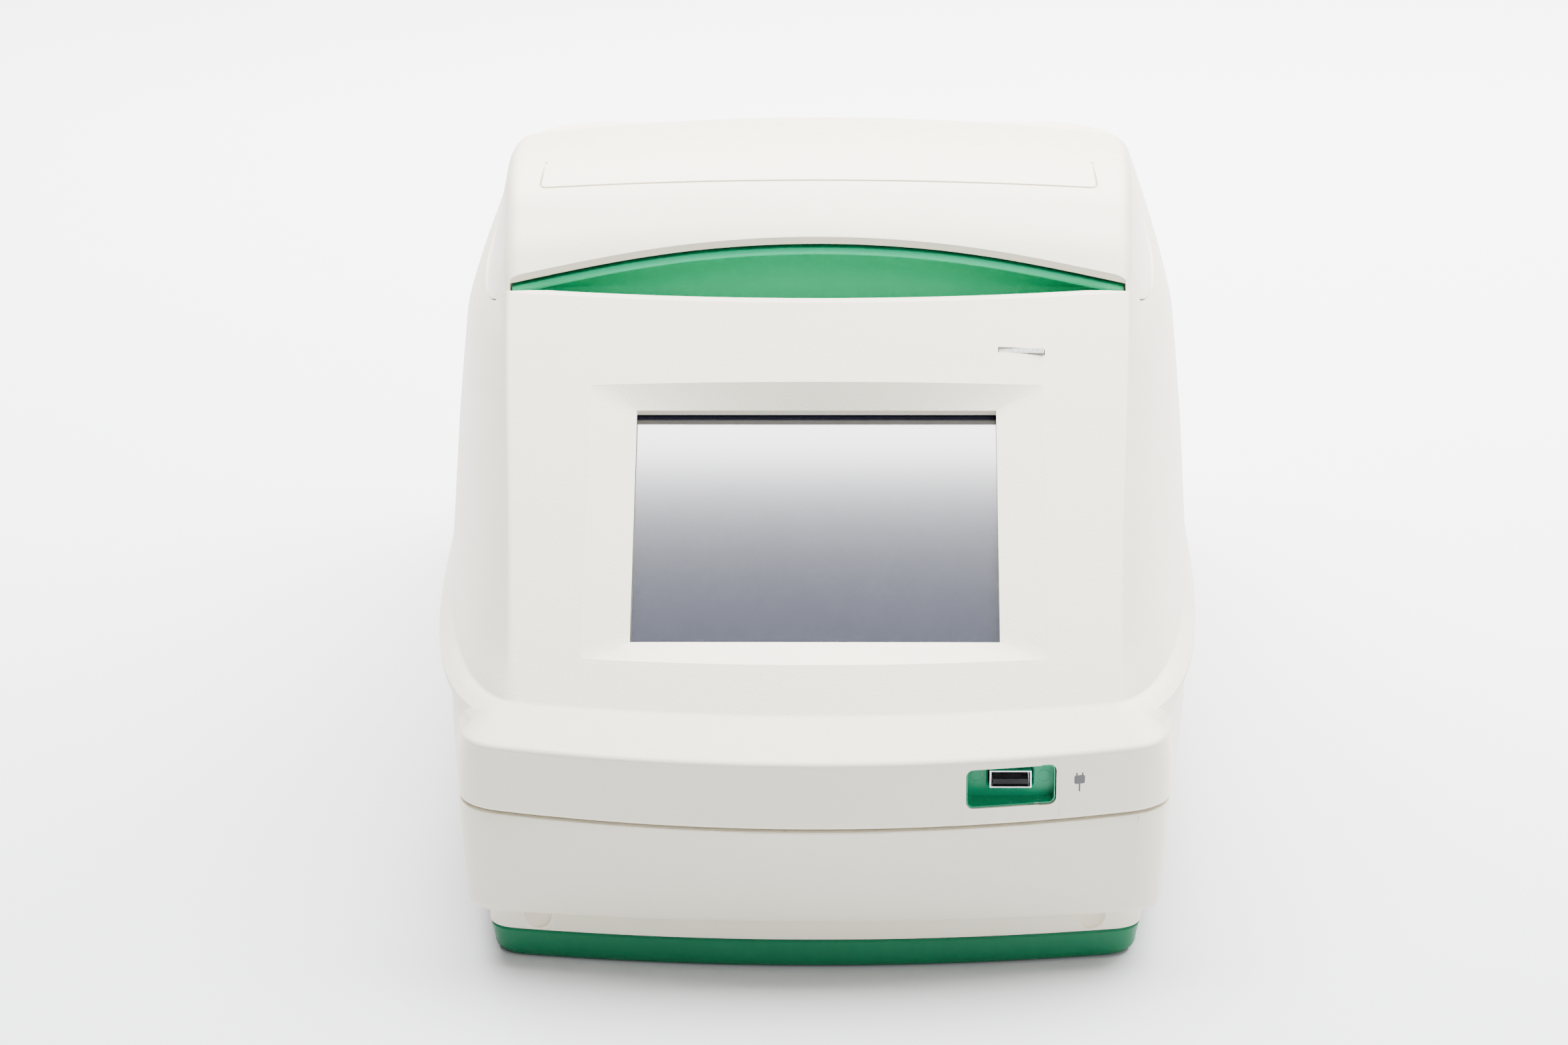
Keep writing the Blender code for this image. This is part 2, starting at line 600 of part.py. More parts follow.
# ---------------------------------------------------------------- mains inlet

def mains_inlet(mats):
    y0, y1 = INLET_Y
    body = box("power_inlet", (30.0, y0, 20.0), (90.0, y1 + 2.4, 48.6), mats["black"])
    socket = [(24.5, 33.5), (24.5, 56.5), (37.5, 56.5), (41.5, 52.5), (41.5, 37.5), (37.5, 33.5)]
    cut(body, prism("socket", socket, "y", y1 - 15.0, y1 + 5))
    cut(body, box("drawer_bay", (59.4, y1 - 21.0, 24.4), (70.6, y1 + 5, 44.2)))
    cut(body, box("rocker_bay", (73.4, y1 - 12.0, 23.4), (87.6, y1 + 5, 45.2)))
    for name, x, z in (("line", 38.5, 31.5), ("neutral", 51.5, 31.5), ("earth", 45.0, 36.0)):
        box("inlet_pin_" + name, (x - 1.0, y1 - 14.7, z - 2.0), (x + 1.0, y1 - 1.5, z + 2.0), mats["brass"])
    drawer = box("fuse_drawer", (59.7, y1 - 20.5, 24.7), (70.3, y1 + 2.6, 43.9), mats["black"])
    cut(drawer, box("fuse_slot", (61.7, y1 - 16.0, 27.0), (68.3, y1 - 2.0, 45.0)))
    swing = math.radians(7.0)
    pivot_y, pivot_z, reach, deep = y1 - 1.0, 34.3, 9.6, 4.0
    outline = [(0.0, 1.6), (reach, 2.6), (reach, 1.5 - deep), (3.0, -deep)]
    outline += [(-3.0, -deep), (-reach, 1.5 - deep), (-reach, 2.6)]
    turned = []
    for along, out in outline:
        turned.append((pivot_y + out * math.cos(swing) - along * math.sin(swing),
                       pivot_z + out * math.sin(swing) + along * math.cos(swing)))
    rocker = prism("power_rocker", turned, "x", 74.0, 87.0, mats["dark"])
    carry("rocker_axis", (80.5, pivot_y, pivot_z), rocker)
    carry("drawer_slide", (65.0, y1, 34.3), drawer)


# ---------------------------------------------------------------- lid

def lid_shell(mat):
    lid = loft("lid_shell", [lid_ring(s) for s in LID], mat, 30, flat_ends=False)
    line = [(s[0], s[1]) for s in LID]
    inner = []
    for i, station in enumerate(LID):
        a, b = line[max(i - 1, 0)], line[min(i + 1, len(line) - 1)]
        run, rise = b[0] - a[0], b[1] - a[1]
        size = math.hypot(run, rise)
        y, z = station[0] + WALL * rise / size, station[1] - WALL * run / size
        inner.append((y, z) + station[2:])
    inner[-1] = (168.5, 173.8) + inner[-1][2:]
    cut(lid, loft("hollow", [lid_ring(s, WALL, 160.0) for s in inner], flat_ends=False))
    seam = [(y, z + LID_GAP) for y, z in SEAM_PATH]
    seam[0] = (-79.5, 190.0)
    below = [(-120.0, 190.0)] + seam + [(250.0, 140.0), (-120.0, 140.0)]
    cut(lid, prism("below_seam", below, "x", -140.0, 140.0))
    rings = []
    for i in range(25):
        x = -104.0 + 208.0 * i / 24
        top = lid_surface_z(x, LIP_Y)
        rings.append([(x, -120.0, 150.0), (x, -52.0, 150.0), (x, -52.0, top - LIP_HEIGHT),
                      (x, LIP_Y, top - LIP_HEIGHT), (x, LIP_Y, 232.0), (x, -120.0, 232.0)])
    cut(lid, loft("arch", rings))
    return lid


def heater(mats):
    """Pressing plate with its four guide posts; each post has a spring under the liner."""
    plate = prism("heater_plate", rounded(-61.0, -3.0, 61.0, 83.0, 3.0), "z", *PLATE_Z, mats["dark"])
    springs = []
    for x in (-POST_X, POST_X):
        for y in POST_Y:
            join(plate, prism("post", circle((x, y), 2.6, 12), "z", PLATE_Z[1] - 1.0, 190.0))
            name = "spring_" + ("left" if x < 0 else "right") + ("_front" if y < BLOCK_Y else "_rear")
            low, high = PLATE_Z[1] + GAP, LINER_Z[0] - GAP
            spring = prism(name, circle((x, y), 5.2, 12), "z", low, high, mats["steel"])
            springs.append(cut(spring, prism("bore", circle((x, y), 3.4, 12), "z", 160.0, 190.0)))
    carry("plate_slide", (0.0, BLOCK_Y, PLATE_Z[0]), plate)
    return springs


def lid_parts(mats):
    liner = prism("lid_liner", rounded(-103.0, -30.0, 103.0, 140.0, 12.0), "z", *LINER_Z, mats["white"])
    for x in (-POST_X, POST_X):
        for y in POST_Y:
            cut(liner, prism("post_hole", circle((x, y), 3.2, 16), "z", 170.0, 185.0))
    pieces = [liner]
    for side, name in ((-1, "left"), (1, "right")):
        x0, x1 = sorted((side * 66.0, side * 69.0))
        arm = [(153.0, 165.0), (155.0, 160.0), (160.0, 158.0), (165.0, 160.0), (167.0, 165.0), (165.0, 170.0),
               (160.0, 172.8), (152.0, 176.4), (130.0, 182.9), (104.0, 189.6), (104.0, 180.2), (146.5, 180.2),
               (147.5, 172.0)]
        hinge_arm = prism("hinge_arm_" + name, arm, "x", x0, x1, mats["steel"])
        cut(hinge_arm, prism("bore", circle((HINGE_Y, HINGE_Z), HINGE_R + 0.1, 16), "x", x0 - 1, x1 + 1))
        pieces.append(hinge_arm)
    return pieces


def hinge(mats):
    for side, name in ((-1, "left"), (1, "right")):
        x0, x1 = sorted((side * 70.0, side * 73.0))
        outline = [(153.0, 165.0), (155.0, 170.0), (160.0, 172.0), (165.0, 170.0), (167.0, 165.0)]
        outline += [(166.0, 150.0), (172.0, 138.0), (148.0, 138.0)]
        bracket = prism("hinge_bracket_" + name, outline, "x", x0, x1, mats["steel"])
        f0, f1 = sorted((side * 72.0, side * 84.0))
        join(bracket, box("flange", (f0, 148.0, 138.0), (f1, 172.0, 140.5)))
        cut(bracket, prism("bore", circle((HINGE_Y, HINGE_Z), HINGE_R + 0.1, 16), "x", -90.0, 90.0))
    prism("hinge_pin", circle((HINGE_Y, HINGE_Z), HINGE_R, 16), "x", -76.0, 76.0, mats["steel"], 40)


def grip_lever(mats):
    """Green release lever: the bar under the lip, the finger recess behind it, two knuckles on its pin."""
    rings = []
    steps = 22
    for i in range(steps + 1):
        x = -101.8 + 203.6 * i / steps
        top = lid_surface_z(x, LIP_Y) - LIP_HEIGHT
        rings.append([
            (x, -73.0, top - 1.9), (x, -73.0, top - 3.6), (x, -71.6, top - 4.3), (x, -64.0, top - 4.8),
            (x, -57.0, top - 7.0), (x, -52.0, 178.0), (x, -49.5, 166.0), (x, -47.0, 166.0),
            (x, -49.4, 179.0), (x, -54.5, top - 4.2), (x, -63.0, top - 1.9), (x, -71.8, top - 1.5),
        ])
    lever = loft("grip_lever", rings, mats["green"], 30)
    for x in (-60.0, 60.0):
        outline = [(-58.0, 188.0), (-50.0, 184.0), (-48.2, 197.0), (-52.0, 200.8), (-55.8, 197.0)]
        join(lever, prism("knuckle", outline, "x", x - 3.0, x + 3.0))
    return cut(lever, prism("bore", circle((LEVER_Y, LEVER_Z), LEVER_R + 0.1, 12), "x", -80.0, 80.0))


def latches(mat):
    """Two hooks that move with the lever, each facing a striker on the deck."""
    hooks = []
    for side, name in ((-1, "left"), (1, "right")):
        x0, x1 = sorted((side * 77.0, side * 83.0))
        hook = [(-46.6, 176.0), (-46.6, 163.0), (-40.6, 163.0), (-40.6, 164.6)]
        hook += [(-43.6, 166.2), (-44.4, 176.0)]
        hooks.append(prism("latch_hook_" + name, hook, "x", x0, x1, mat))
        box("latch_striker_" + name, (x0, -40.0, DECK_Z[1] + GAP), (x1, -37.0, 169.0), mat)
    return hooks


def clear_scene():
    for obj in list(bpy.data.objects):
        bpy.data.objects.remove(obj)


def build():
    clear_scene()
    mats = {
        "white": material("housing_white", (0.78, 0.75, 0.68), 0.5),
        "green": material("green_plastic", (0.01, 0.26, 0.12), 0.4),
        "rubber": material("rubber", (0.03, 0.03, 0.03), 0.8),
        "black": material("black_plastic", (0.02, 0.02, 0.02), 0.5),
        "dark": material("dark_coating", (0.04, 0.04, 0.045), 0.45),
        "screen": material("screen_glass", (0.09, 0.1, 0.15), 0.15),
        "window": material("status_window", (0.45, 0.45, 0.45), 0.3),
        "steel": material("steel", (0.6, 0.6, 0.62), 0.35, 1.0),
        "chrome": material("bright_steel", (0.8, 0.8, 0.82), 0.15, 1.0),
        "aluminium": material("aluminium", (0.8, 0.81, 0.82), 0.4, 1.0),
        "brass": material("brass", (0.8, 0.6, 0.25), 0.3, 1.0),
        "ceramic": material("ceramic", (0.85, 0.85, 0.82), 0.5),
        "board": material("circuit_board", (0.02, 0.16, 0.06), 0.5),
    }
    bottom_tray(mats["green"])
    feet(mats["rubber"])
    base_housing(mats["white"])
    upper_housing(mats["white"])
    rear_panel(mats["steel"])
    display(mats)
    usb_port(mats)
    thermal_core(mats)
    fans(mats)
    mains_inlet(mats)
    shell = lid_shell(mats["white"])
    pin = prism("lever_pin", circle((LEVER_Y, LEVER_Z), LEVER_R, 12), "x", -70.0, 70.0, mats["steel"], 40)
    hinge(mats)
    carry("lid_axis", (0.0, HINGE_Y, HINGE_Z), shell, pin, *lid_parts(mats), *heater(mats))
    carry("lever_axis", (0.0, LEVER_Y, LEVER_Z), grip_lever(mats), *latches(mats["steel"]))


build()
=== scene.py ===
"""Looks for the bench-top thermal cycler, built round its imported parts.

Frame: origin at the centre of the footprint on the table, +X to the user's right, +Y to the rear, +Z up.
Sizes in the tables and calls are millimetres; solid() turns them into metres.
"""
import json
import math

import bpy
from mathutils import Matrix, Vector


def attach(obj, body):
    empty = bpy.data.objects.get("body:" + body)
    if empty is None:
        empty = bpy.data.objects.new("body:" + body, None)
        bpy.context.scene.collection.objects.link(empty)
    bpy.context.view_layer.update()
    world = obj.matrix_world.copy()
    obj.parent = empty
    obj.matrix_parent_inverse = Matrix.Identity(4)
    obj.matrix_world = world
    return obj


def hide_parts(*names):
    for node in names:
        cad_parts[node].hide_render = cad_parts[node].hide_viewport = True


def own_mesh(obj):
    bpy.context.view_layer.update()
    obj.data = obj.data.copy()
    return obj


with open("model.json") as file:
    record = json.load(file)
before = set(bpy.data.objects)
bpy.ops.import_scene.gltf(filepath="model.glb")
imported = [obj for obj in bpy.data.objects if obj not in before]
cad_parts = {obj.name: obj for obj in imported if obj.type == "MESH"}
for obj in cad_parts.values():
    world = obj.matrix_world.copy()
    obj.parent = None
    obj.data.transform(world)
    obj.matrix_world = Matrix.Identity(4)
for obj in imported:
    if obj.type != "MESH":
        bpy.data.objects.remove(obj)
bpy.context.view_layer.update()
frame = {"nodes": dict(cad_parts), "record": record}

MM = 0.001
WALL = 3.0
HALF_WIDTH, HALF_DEPTH = 130.0, 235.0

# Driving dimensions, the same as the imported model's
CHIN_Y, CHIN_BOW = -235.0, 340.0
PANEL_BOTTOM = (-217.0, 84.7)
PANEL_TOP = (-89.0, 184.3)
PANEL_BOWS = (383.0, 435.0)
PANEL_LENGTH, PANEL_SINE = 162.2, 0.6157
LEDGE_Z = 172.5
LID_GAP = 0.6
CREASE_X = 105.0
LIP_Y = -73.5
LIP_HEIGHT = 2.6
OPENING_FRONT_Y, OPENING_REAR_Y = -87.0, 177.0
DECK_FRONT_Y, DECK_TOP = -66.3, 159.8
LEVER_Y, LEVER_Z, LEVER_R = -52.0, 197.0, 1.8
SCREEN_X = 59.4
SCREEN_S = (30.3, 120.3)
RECESS_X = 74.8
RECESS_S = (19.0, 128.8)
RECESS_DEPTH = 4.5
BLOCK_Y, BLOCK_TOP = 40.0, 160.0
BLOCK_SIZE = (116.0, 80.0, 18.0)
WELL_PITCH, WELL_COLUMNS, WELL_ROWS = 9.0, 12, 8
WELL_R = 2.9
PLATE_TOP, LINER_LOW = 171.0, 176.5
POST_X, POST_Y = 48.0, (10.0, 70.0)
USB_X, USB_Z, USB_SOCKET_Z = 62.1, 65.6, 66.4
WIDEST_Y, REAR_TAPER = 10.0, 4.0
FINE = 3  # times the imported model's steps round each section

# Each row: height, front y, bow radius, crease x, corner rounding, angle the side leaves at,
# reach of that direction, widest half width, rear y, rear corner radius.
HOUSING = [
    (53.3, -235.0, 335, 113.0, 12.0, 6, 70, 129.5, 235.0, 35),
    (67.0, -235.0, 340, 112.7, 12.0, 6, 70, 130.0, 235.0, 35),
    (75.1, -235.0, 346, 112.0, 12.0, 7, 65, 129.8, 234.8, 35),
    (84.7, -217.0, 383, 97.0, 3.0, 52, 26, 129.3, 234.5, 35),
    (95.0, -203.8, 388, 98.0, 1.5, 40, 28, 129.0, 234.3, 35),
    (130.0, -158.8, 410, 100.8, 1.5, 22, 40, 127.0, 233.0, 34),
    (150.0, -133.1, 420, 102.6, 1.5, 21, 34, 125.2, 229.0, 33),
    (160.0, -120.2, 425, 103.4, 1.5, 21, 30, 124.0, 223.0, 32),
    (168.0, -109.9, 428, 104.0, 1.5, 21, 22, 121.0, 212.0, 31),
    (172.5, -104.2, 430, 104.3, 1.5, 22, 14, 117.8, 200.0, 30),
    (184.3, -89.0, 435, 104.8, 1.5, 24, 12, 117.3, 195.0, 30),
]
CAVITY = [
    (50.0, -232.0, 332, 110.0, 10.0, 6, 70, 126.5, 232.0, 32),
    (73.3, -232.0, 343, 109.0, 10.0, 7, 65, 126.8, 231.8, 32),
    (82.2, -215.3, 380, 94.0, 4.0, 50, 26, 126.3, 231.5, 32),
    (95.0, -198.9, 385, 95.2, 3.0, 40, 28, 126.0, 231.2, 32),
    (130.0, -153.9, 407, 98.0, 3.0, 22, 40, 124.0, 230.0, 31),
    (158.0, -117.9, 422, 100.5, 3.0, 21, 30, 120.8, 220.0, 29),
    (169.3, -103.4, 428, 101.0, 3.0, 21, 20, 114.0, 203.0, 27),
]
PLINTH = (18.2, -222.5, 520, 104.5, 8.0, 5, 60, 119.5, 226.0, 30)
BASE_LOW = (18.5, -228.5, 600, 110.5, 9.0, 5, 65, 125.5, 232.0, 33)
BASE_MID = (30.0, -231.0, 500, 111.5, 10.0, 5, 68, 127.3, 233.2, 34)
BASE_TOP = (52.4, -235.0, 335, 113.0, 12.0, 6, 70, 129.5, 235.0, 35)
BASE_CAVITY = [
    (9.0, -219.5, 517, 101.0, 6.0, 5, 60, 116.0, 223.0, 27),
    (21.3, -219.5, 517, 101.5, 6.0, 5, 60, 116.5, 223.0, 27),
    (21.6, -226.0, 590, 107.5, 7.0, 5, 65, 122.9, 229.2, 30),
    (54.0, -232.0, 332, 110.0, 10.0, 6, 70, 126.5, 232.0, 32),
]
TRAY = [
    (1.0, -221.8, 505, 101.5, 8.0, 5, 60, 116.5, 224.5, 28),
    (3.0, -222.7, 505, 103.0, 8.0, 5, 60, 118.0, 225.6, 29),
    (9.9, -223.0, 505, 104.2, 8.0, 5, 60, 119.2, 226.2, 30),
]

# The lid's outside at stations from the front edge to the rear: y and z on the centre line,
# how far the crease lies behind the centre, how far below it, the crease's x and the skirt's x.
LID = [
    (-90.0, 184.3, 12.6, 0.0, 105.0, 105.4),
    (-82.0, 193.2, 11.5, 3.0, 105.3, 108.7),
    (-73.5, 201.9, 10.5, 6.0, 105.6, 111.4),
    (-62.0, 209.5, 9.0, 8.0, 106.0, 113.1),
    (-50.0, 215.3, 7.0, 8.5, 106.4, 114.2),
    (-35.0, 219.0, 5.0, 8.0, 107.0, 115.2),
    (-15.0, 220.5, 2.5, 7.5, 107.6, 116.0),
    (5.0, 219.7, 0.0, 7.0, 108.0, 116.6),
    (30.0, 216.3, 0.0, 6.5, 107.8, 117.0),
    (80.0, 204.2, 0.0, 6.0, 107.0, 117.4),
    (130.0, 190.0, 0.0, 5.0, 107.5, 117.0),
    (160.0, 180.5, 0.0, 3.5, 105.0, 110.2),
    (171.5, 175.2, 0.0, 1.5, 101.5, 105.5),
]
LID_CREST_Z = 220.5

# Side view of the edge where lid and housing meet, from the panel's top edge to the rear.
SEAM_PATH = [
    (-79.5, 190.0), (-77.5, 184.3), (-72.0, 180.4), (-66.0, 177.2), (-58.0, 175.2),
    (-46.0, 173.4), (-32.0, 172.5), (250.0, 172.5),
]


# ---------------------------------------------------------------- mesh helpers

def solid(name, points, faces, sharp=30.0):
    """One object from points in millimetres."""
    mesh = bpy.data.meshes.new(name)
    mesh.from_pydata([tuple(c * MM for c in p) for p in points], [], faces)
    mesh.update()
    mesh.shade_smooth()
    mesh.set_sharp_from_angle(angle=math.radians(sharp))
    obj = bpy.data.objects.new(name, mesh)
    bpy.context.scene.collection.objects.link(obj)
    return obj


def boolean(target, tool, operation):
    """Changes target by tool at once and removes tool."""
    modifier = target.modifiers.new(operation.title(), "BOOLEAN")
    modifier.operation = operation
    modifier.object = tool
    modifier.solver = "MANIFOLD"
    graph = bpy.context.evaluated_depsgraph_get()
    made = bpy.data.meshes.new_from_object(target.evaluated_get(graph))
    target.modifiers.clear()
    target.data = made
    bpy.data.objects.remove(tool)


def cut(target, *tools):
    for tool in tools:
        boolean(target, tool, "DIFFERENCE")
    return target


def join(target, *tools):
    for tool in tools:
        boolean(target, tool, "UNION")
    return target


def box(name, low, high):
    (x0, y0, z0), (x1, y1, z1) = low, high
    points = [(x, y, z) for z in (z0, z1) for x, y in ((x0, y0), (x1, y0), (x1, y1), (x0, y1))]
    faces = [(3, 2, 1, 0), (4, 5, 6, 7), (0, 1, 5, 4), (1, 2, 6, 5), (2, 3, 7, 6), (3, 0, 4, 7)]
    return solid(name, points, faces)


def strips(ring):
    """Faces that close a ring whose two halves mirror each other, for an end that isn't flat."""
    last = len(ring) - 1
    faces = []
    for k in range(last // 2):
        quad = [ring[k], ring[k + 1], ring[last - 1 - k], ring[last - k]]
        faces.append(tuple(dict.fromkeys(quad)))
    return faces


def loft(name, rings, flat_ends=True, sharp=30.0):
    """Closed solid through rings of equal count, anticlockwise seen from the last ring."""
    count = len(rings[0])
    points = [p for ring in rings for p in ring]
    start = (len(rings) - 1) * count
    first = tuple(reversed(range(count)))
    last = tuple(range(start, start + count))
    faces = [first, last] if flat_ends else strips(first) + strips(last)
    for j in range(len(rings) - 1):
        for i in range(count):
            a, b = j * count + i, j * count + (i + 1) % count
            faces.append((a, b, b + count, a + count))
    return solid(name, points, faces, sharp)


def turns_left(outline):
    """Whether an outline runs anticlockwise."""
    return sum(a[0] * b[1] - b[0] * a[1] for a, b in zip(outline, outline[1:] + outline[:1])) > 0


def prism(name, outline, axis, start, end, sharp=30.0):
    """A flat outline drawn out along an axis. On x the outline is (y, z), on y (z, x), on z (x, y)."""
    place = {
        "x": lambda p, d: (d, p[0], p[1]),
        "y": lambda p, d: (p[1], d, p[0]),
        "z": lambda p, d: (p[0], p[1], d),
    }[axis]
    ordered = outline if turns_left(outline) else outline[::-1]
    return loft(name, [[place(p, d) for p in ordered] for d in (start, end)], sharp=sharp)


def circle(centre, radius, sides):
    points = []
    for i in range(sides):
        a = 2 * math.pi * i / sides
        points.append((centre[0] + radius * math.cos(a), centre[1] + radius * math.sin(a)))
    return points


def rounded(x0, y0, x1, y1, radius, steps=8):
    """Rectangle with round corners, as points."""
    points = []
    for cx, cy, first in ((x1, y1, 0), (x0, y1, 1), (x0, y0, 2), (x1, y0, 3)):
        mx = cx - math.copysign(radius, cx - (x0 + x1) / 2)
        my = cy - math.copysign(radius, cy - (y0 + y1) / 2)
        for i in range(steps + 1):
            a = (first + i / steps) * math.pi / 2
            points.append((mx + radius * math.cos(a), my + radius * math.sin(a)))
    return points


def bezier(p0, p1, p2, p3, t):
    return tuple(
        a * (1 - t) ** 3 + 3 * b * t * (1 - t) ** 2 + 3 * c * t * t * (1 - t) + d * t**3
        for a, b, c, d in zip(p0, p1, p2, p3)
    )


def soft_corner(begin, tip, end, t):
    """A point on the curve that leaves begin towards tip and reaches end from there."""
    weights = ((1 - t) ** 2, 2 * t * (1 - t), t * t)
    return tuple(sum(w * c for w, c in zip(weights, trio)) for trio in zip(begin, tip, end))


def across(half, steps):
    """Even steps along x from one side to the other."""
    return [-half + 2 * half * i / steps for i in range(steps + 1)]


# ---------------------------------------------------------------- smooth tables

def linear(ts, vs, t):
    for i in range(len(ts) - 1):
        if t <= ts[i + 1] or i == len(ts) - 2:
            return vs[i] + (vs[i + 1] - vs[i]) * (t - ts[i]) / (ts[i + 1] - ts[i])


def spline(ts, vs, t):
    """A smooth curve through the values."""
    steps = [b - a for a, b in zip(ts, ts[1:])]
    rises = [(b - a) / h for a, b, h in zip(vs, vs[1:], steps)]
    slopes = [rises[0]]
    for i in range(1, len(ts) - 1):
        slopes.append((rises[i - 1] * steps[i] + rises[i] * steps[i - 1]) / (steps[i - 1] + steps[i]))
    slopes.append(rises[-1])
    i = max(k for k in range(len(ts) - 1) if ts[k] <= t or k == 0)
    h = steps[i]
    u = (t - ts[i]) / h
    return ((1 + 2 * u) * (1 - u) ** 2 * vs[i] + u * (1 - u) ** 2 * h * slopes[i]
            + u * u * (3 - 2 * u) * vs[i + 1] + u * u * (u - 1) * h * slopes[i + 1])


def eased(ts, vs, t, reach, steps=8):
    """The straight-line value averaged over a short stretch, which rounds each kink."""
    total = 0.0
    for k in range(steps + 1):
        total += linear(ts, vs, t + reach * (2 * k / steps - 1))
    return total / (steps + 1)


def inset(row, d, z=None):
    z0, f, b, c, k, lead, reach, w, y, q = row
    return (z0 if z is None else z, f + d, b, c - d, k, lead, reach, w - d, y - d, max(q - d, 4.0))


def housing_row(z):
    """The housing's section at any height: straight panel, rounded chin, smooth sides."""
    ts = [row[0] for row in HOUSING]
    reach = 0.8 if z < 80.0 else 0.4
    reach = min(reach, ts[-1] - z, z - ts[0])
    row = [z]
    for column in range(1, 10):
        vs = [r[column] for r in HOUSING]
        if column < 5:
            row.append(eased(ts, vs, z, reach))
        else:
            row.append(spline(ts, vs, z))
    row[7] = min(row[7], HALF_WIDTH)
    row[8] = min(row[8], HALF_DEPTH)
    return tuple(row)


# ---------------------------------------------------------------- outer shapes

def bowed(front_y, bow, x):
    """A front edge that curves away towards the sides."""
    return front_y + x * x / (2 * bow)


def plan_ring(row, fine=FINE):
    """The housing's horizontal section at one height, anticlockwise seen from above."""
    z, front_y, bow, crease_x, k, lead, reach, width, rear_y, rear_r = row
    front, corner, side, rear_side, rear_corner = (n * fine for n in (8, 3, 7, 3, 4))
    start_x = crease_x - k
    half = [(start_x * i / front, bowed(front_y, bow, start_x * i / front)) for i in range(front)]
    tip = (crease_x, bowed(front_y, bow, crease_x))
    heading = (math.sin(math.radians(lead)), math.cos(math.radians(lead)))
    end = (tip[0] + k * heading[0], tip[1] + k * heading[1])
    begin = (start_x, bowed(front_y, bow, start_x))
    half += [soft_corner(begin, tip, end, i / corner) for i in range(corner)]
    widest = (width, WIDEST_Y)
    pull = 0.42 * (widest[1] - end[1])
    lean = (end[0] + reach * heading[0], end[1] + reach * heading[1])
    for i in range(side):
        half.append(bezier(end, lean, (width, widest[1] - pull), widest, i / side))
    rear_x = width - REAR_TAPER
    turn_y = rear_y - rear_r
    for i in range(rear_side):
        t = i / rear_side
        half.append(bezier(widest, (width, 70.0), (rear_x + 2.0, turn_y - 60.0), (rear_x, turn_y), t))
    for i in range(rear_corner + 1):
        a = math.pi / 2 * i / rear_corner
        half.append((rear_x - rear_r + rear_r * math.cos(a), turn_y + rear_r * math.sin(a)))
    full = half + [(-x, y) for x, y in reversed(half[1:])]
    return [(x, y, z) for x, y in full]


def shell_loft(name, rows, fine=FINE):
    return loft(name, [plan_ring(row, fine) for row in rows])


def fine_stations():
    """The lid's stations, filled in along a smooth curve."""
    ts = [0.0]
    for a, b in zip(LID, LID[1:]):
        ts.append(ts[-1] + math.hypot(b[0] - a[0], b[1] - a[1]))
    count = 90
    made = []
    for i in range(count + 1):
        t = ts[-1] * i / count
        row = [spline(ts, [s[column] for s in LID], t) for column in range(6)]
        row[1] = min(row[1], LID_CREST_Z)
        made.append(tuple(row))
    return made


STATIONS = fine_stations()


def lid_ring(station, off=0.0, floor=165.0, top_steps=36, soft_steps=6):
    """The lid's cross-section at one station, from the left skirt over the top to the right skirt."""
    y, z, back, drop, crease_x, skirt_x = station
    crease_x, skirt_x = crease_x - off, skirt_x - off
    z_crease = z - drop
    depth = max(z_crease - LEDGE_Z, 0.8)
    lean = (skirt_x - crease_x) / depth
    soft = min(5.0, 0.6 * depth)
    half = []
    for i in range(top_steps + 1):
        x = (crease_x - soft) * i / top_steps
        share = (x / CREASE_X) ** 2
        half.append((x, y + back * share, z - drop * share))
    start, y_edge = half[-1], y + back
    corner = (crease_x, y_edge, z_crease)
    end = (crease_x + soft * lean, y_edge, z_crease - soft)
    half += [soft_corner(start, corner, end, i / soft_steps) for i in range(1, soft_steps + 1)]
    side_steps = 6
    for i in range(1, side_steps + 1):
        t = i / side_steps
        half.append((end[0] + (skirt_x - end[0]) * t, y_edge, end[2] + (z_crease - depth - end[2]) * t))
    half.append((skirt_x, y_edge, floor))
    left = [(-x, py, pz) for x, py, pz in half[:0:-1]]
    return left + half


def lid_surface_z(x, y):
    """Height of the lid's outside over a point, by walking the stations."""
    share = (x / CREASE_X) ** 2
    line = [(s[0] + s[2] * share, s[1] - s[3] * share) for s in STATIONS]
    for (y0, z0), (y1, z1) in zip(line, line[1:]):
        if y0 <= y <= y1:
            return z0 + (z1 - z0) * (y - y0) / (y1 - y0)
    return line[0][1]


def panel_point(x, s, n):
    """A point on the panel's own axes: across, up the slope, and out from its centre line."""
    run, rise = PANEL_TOP[0] - PANEL_BOTTOM[0], PANEL_TOP[1] - PANEL_BOTTOM[1]
    length = math.hypot(run, rise)
    cos, sin = run / length, rise / length
    return (x, PANEL_BOTTOM[0] + s * cos - n * sin, PANEL_BOTTOM[1] + s * sin + n * cos)


def panel_surface_n(x, s):
    """How far the bowed panel lies behind its centre line."""
    bow = PANEL_BOWS[0] + (PANEL_BOWS[1] - PANEL_BOWS[0]) * s / PANEL_LENGTH
    return -PANEL_SINE * x * x / (2 * bow)


def panel_box(name, x_range, s_range, n_range):
    rings = []
    for x in x_range:
        corners = ((0, 0), (1, 0), (1, 1), (0, 1))
        rings.append([panel_point(x, s_range[i], n_range[j]) for i, j in corners])
    return loft(name, rings)


# ---------------------------------------------------------------- housings

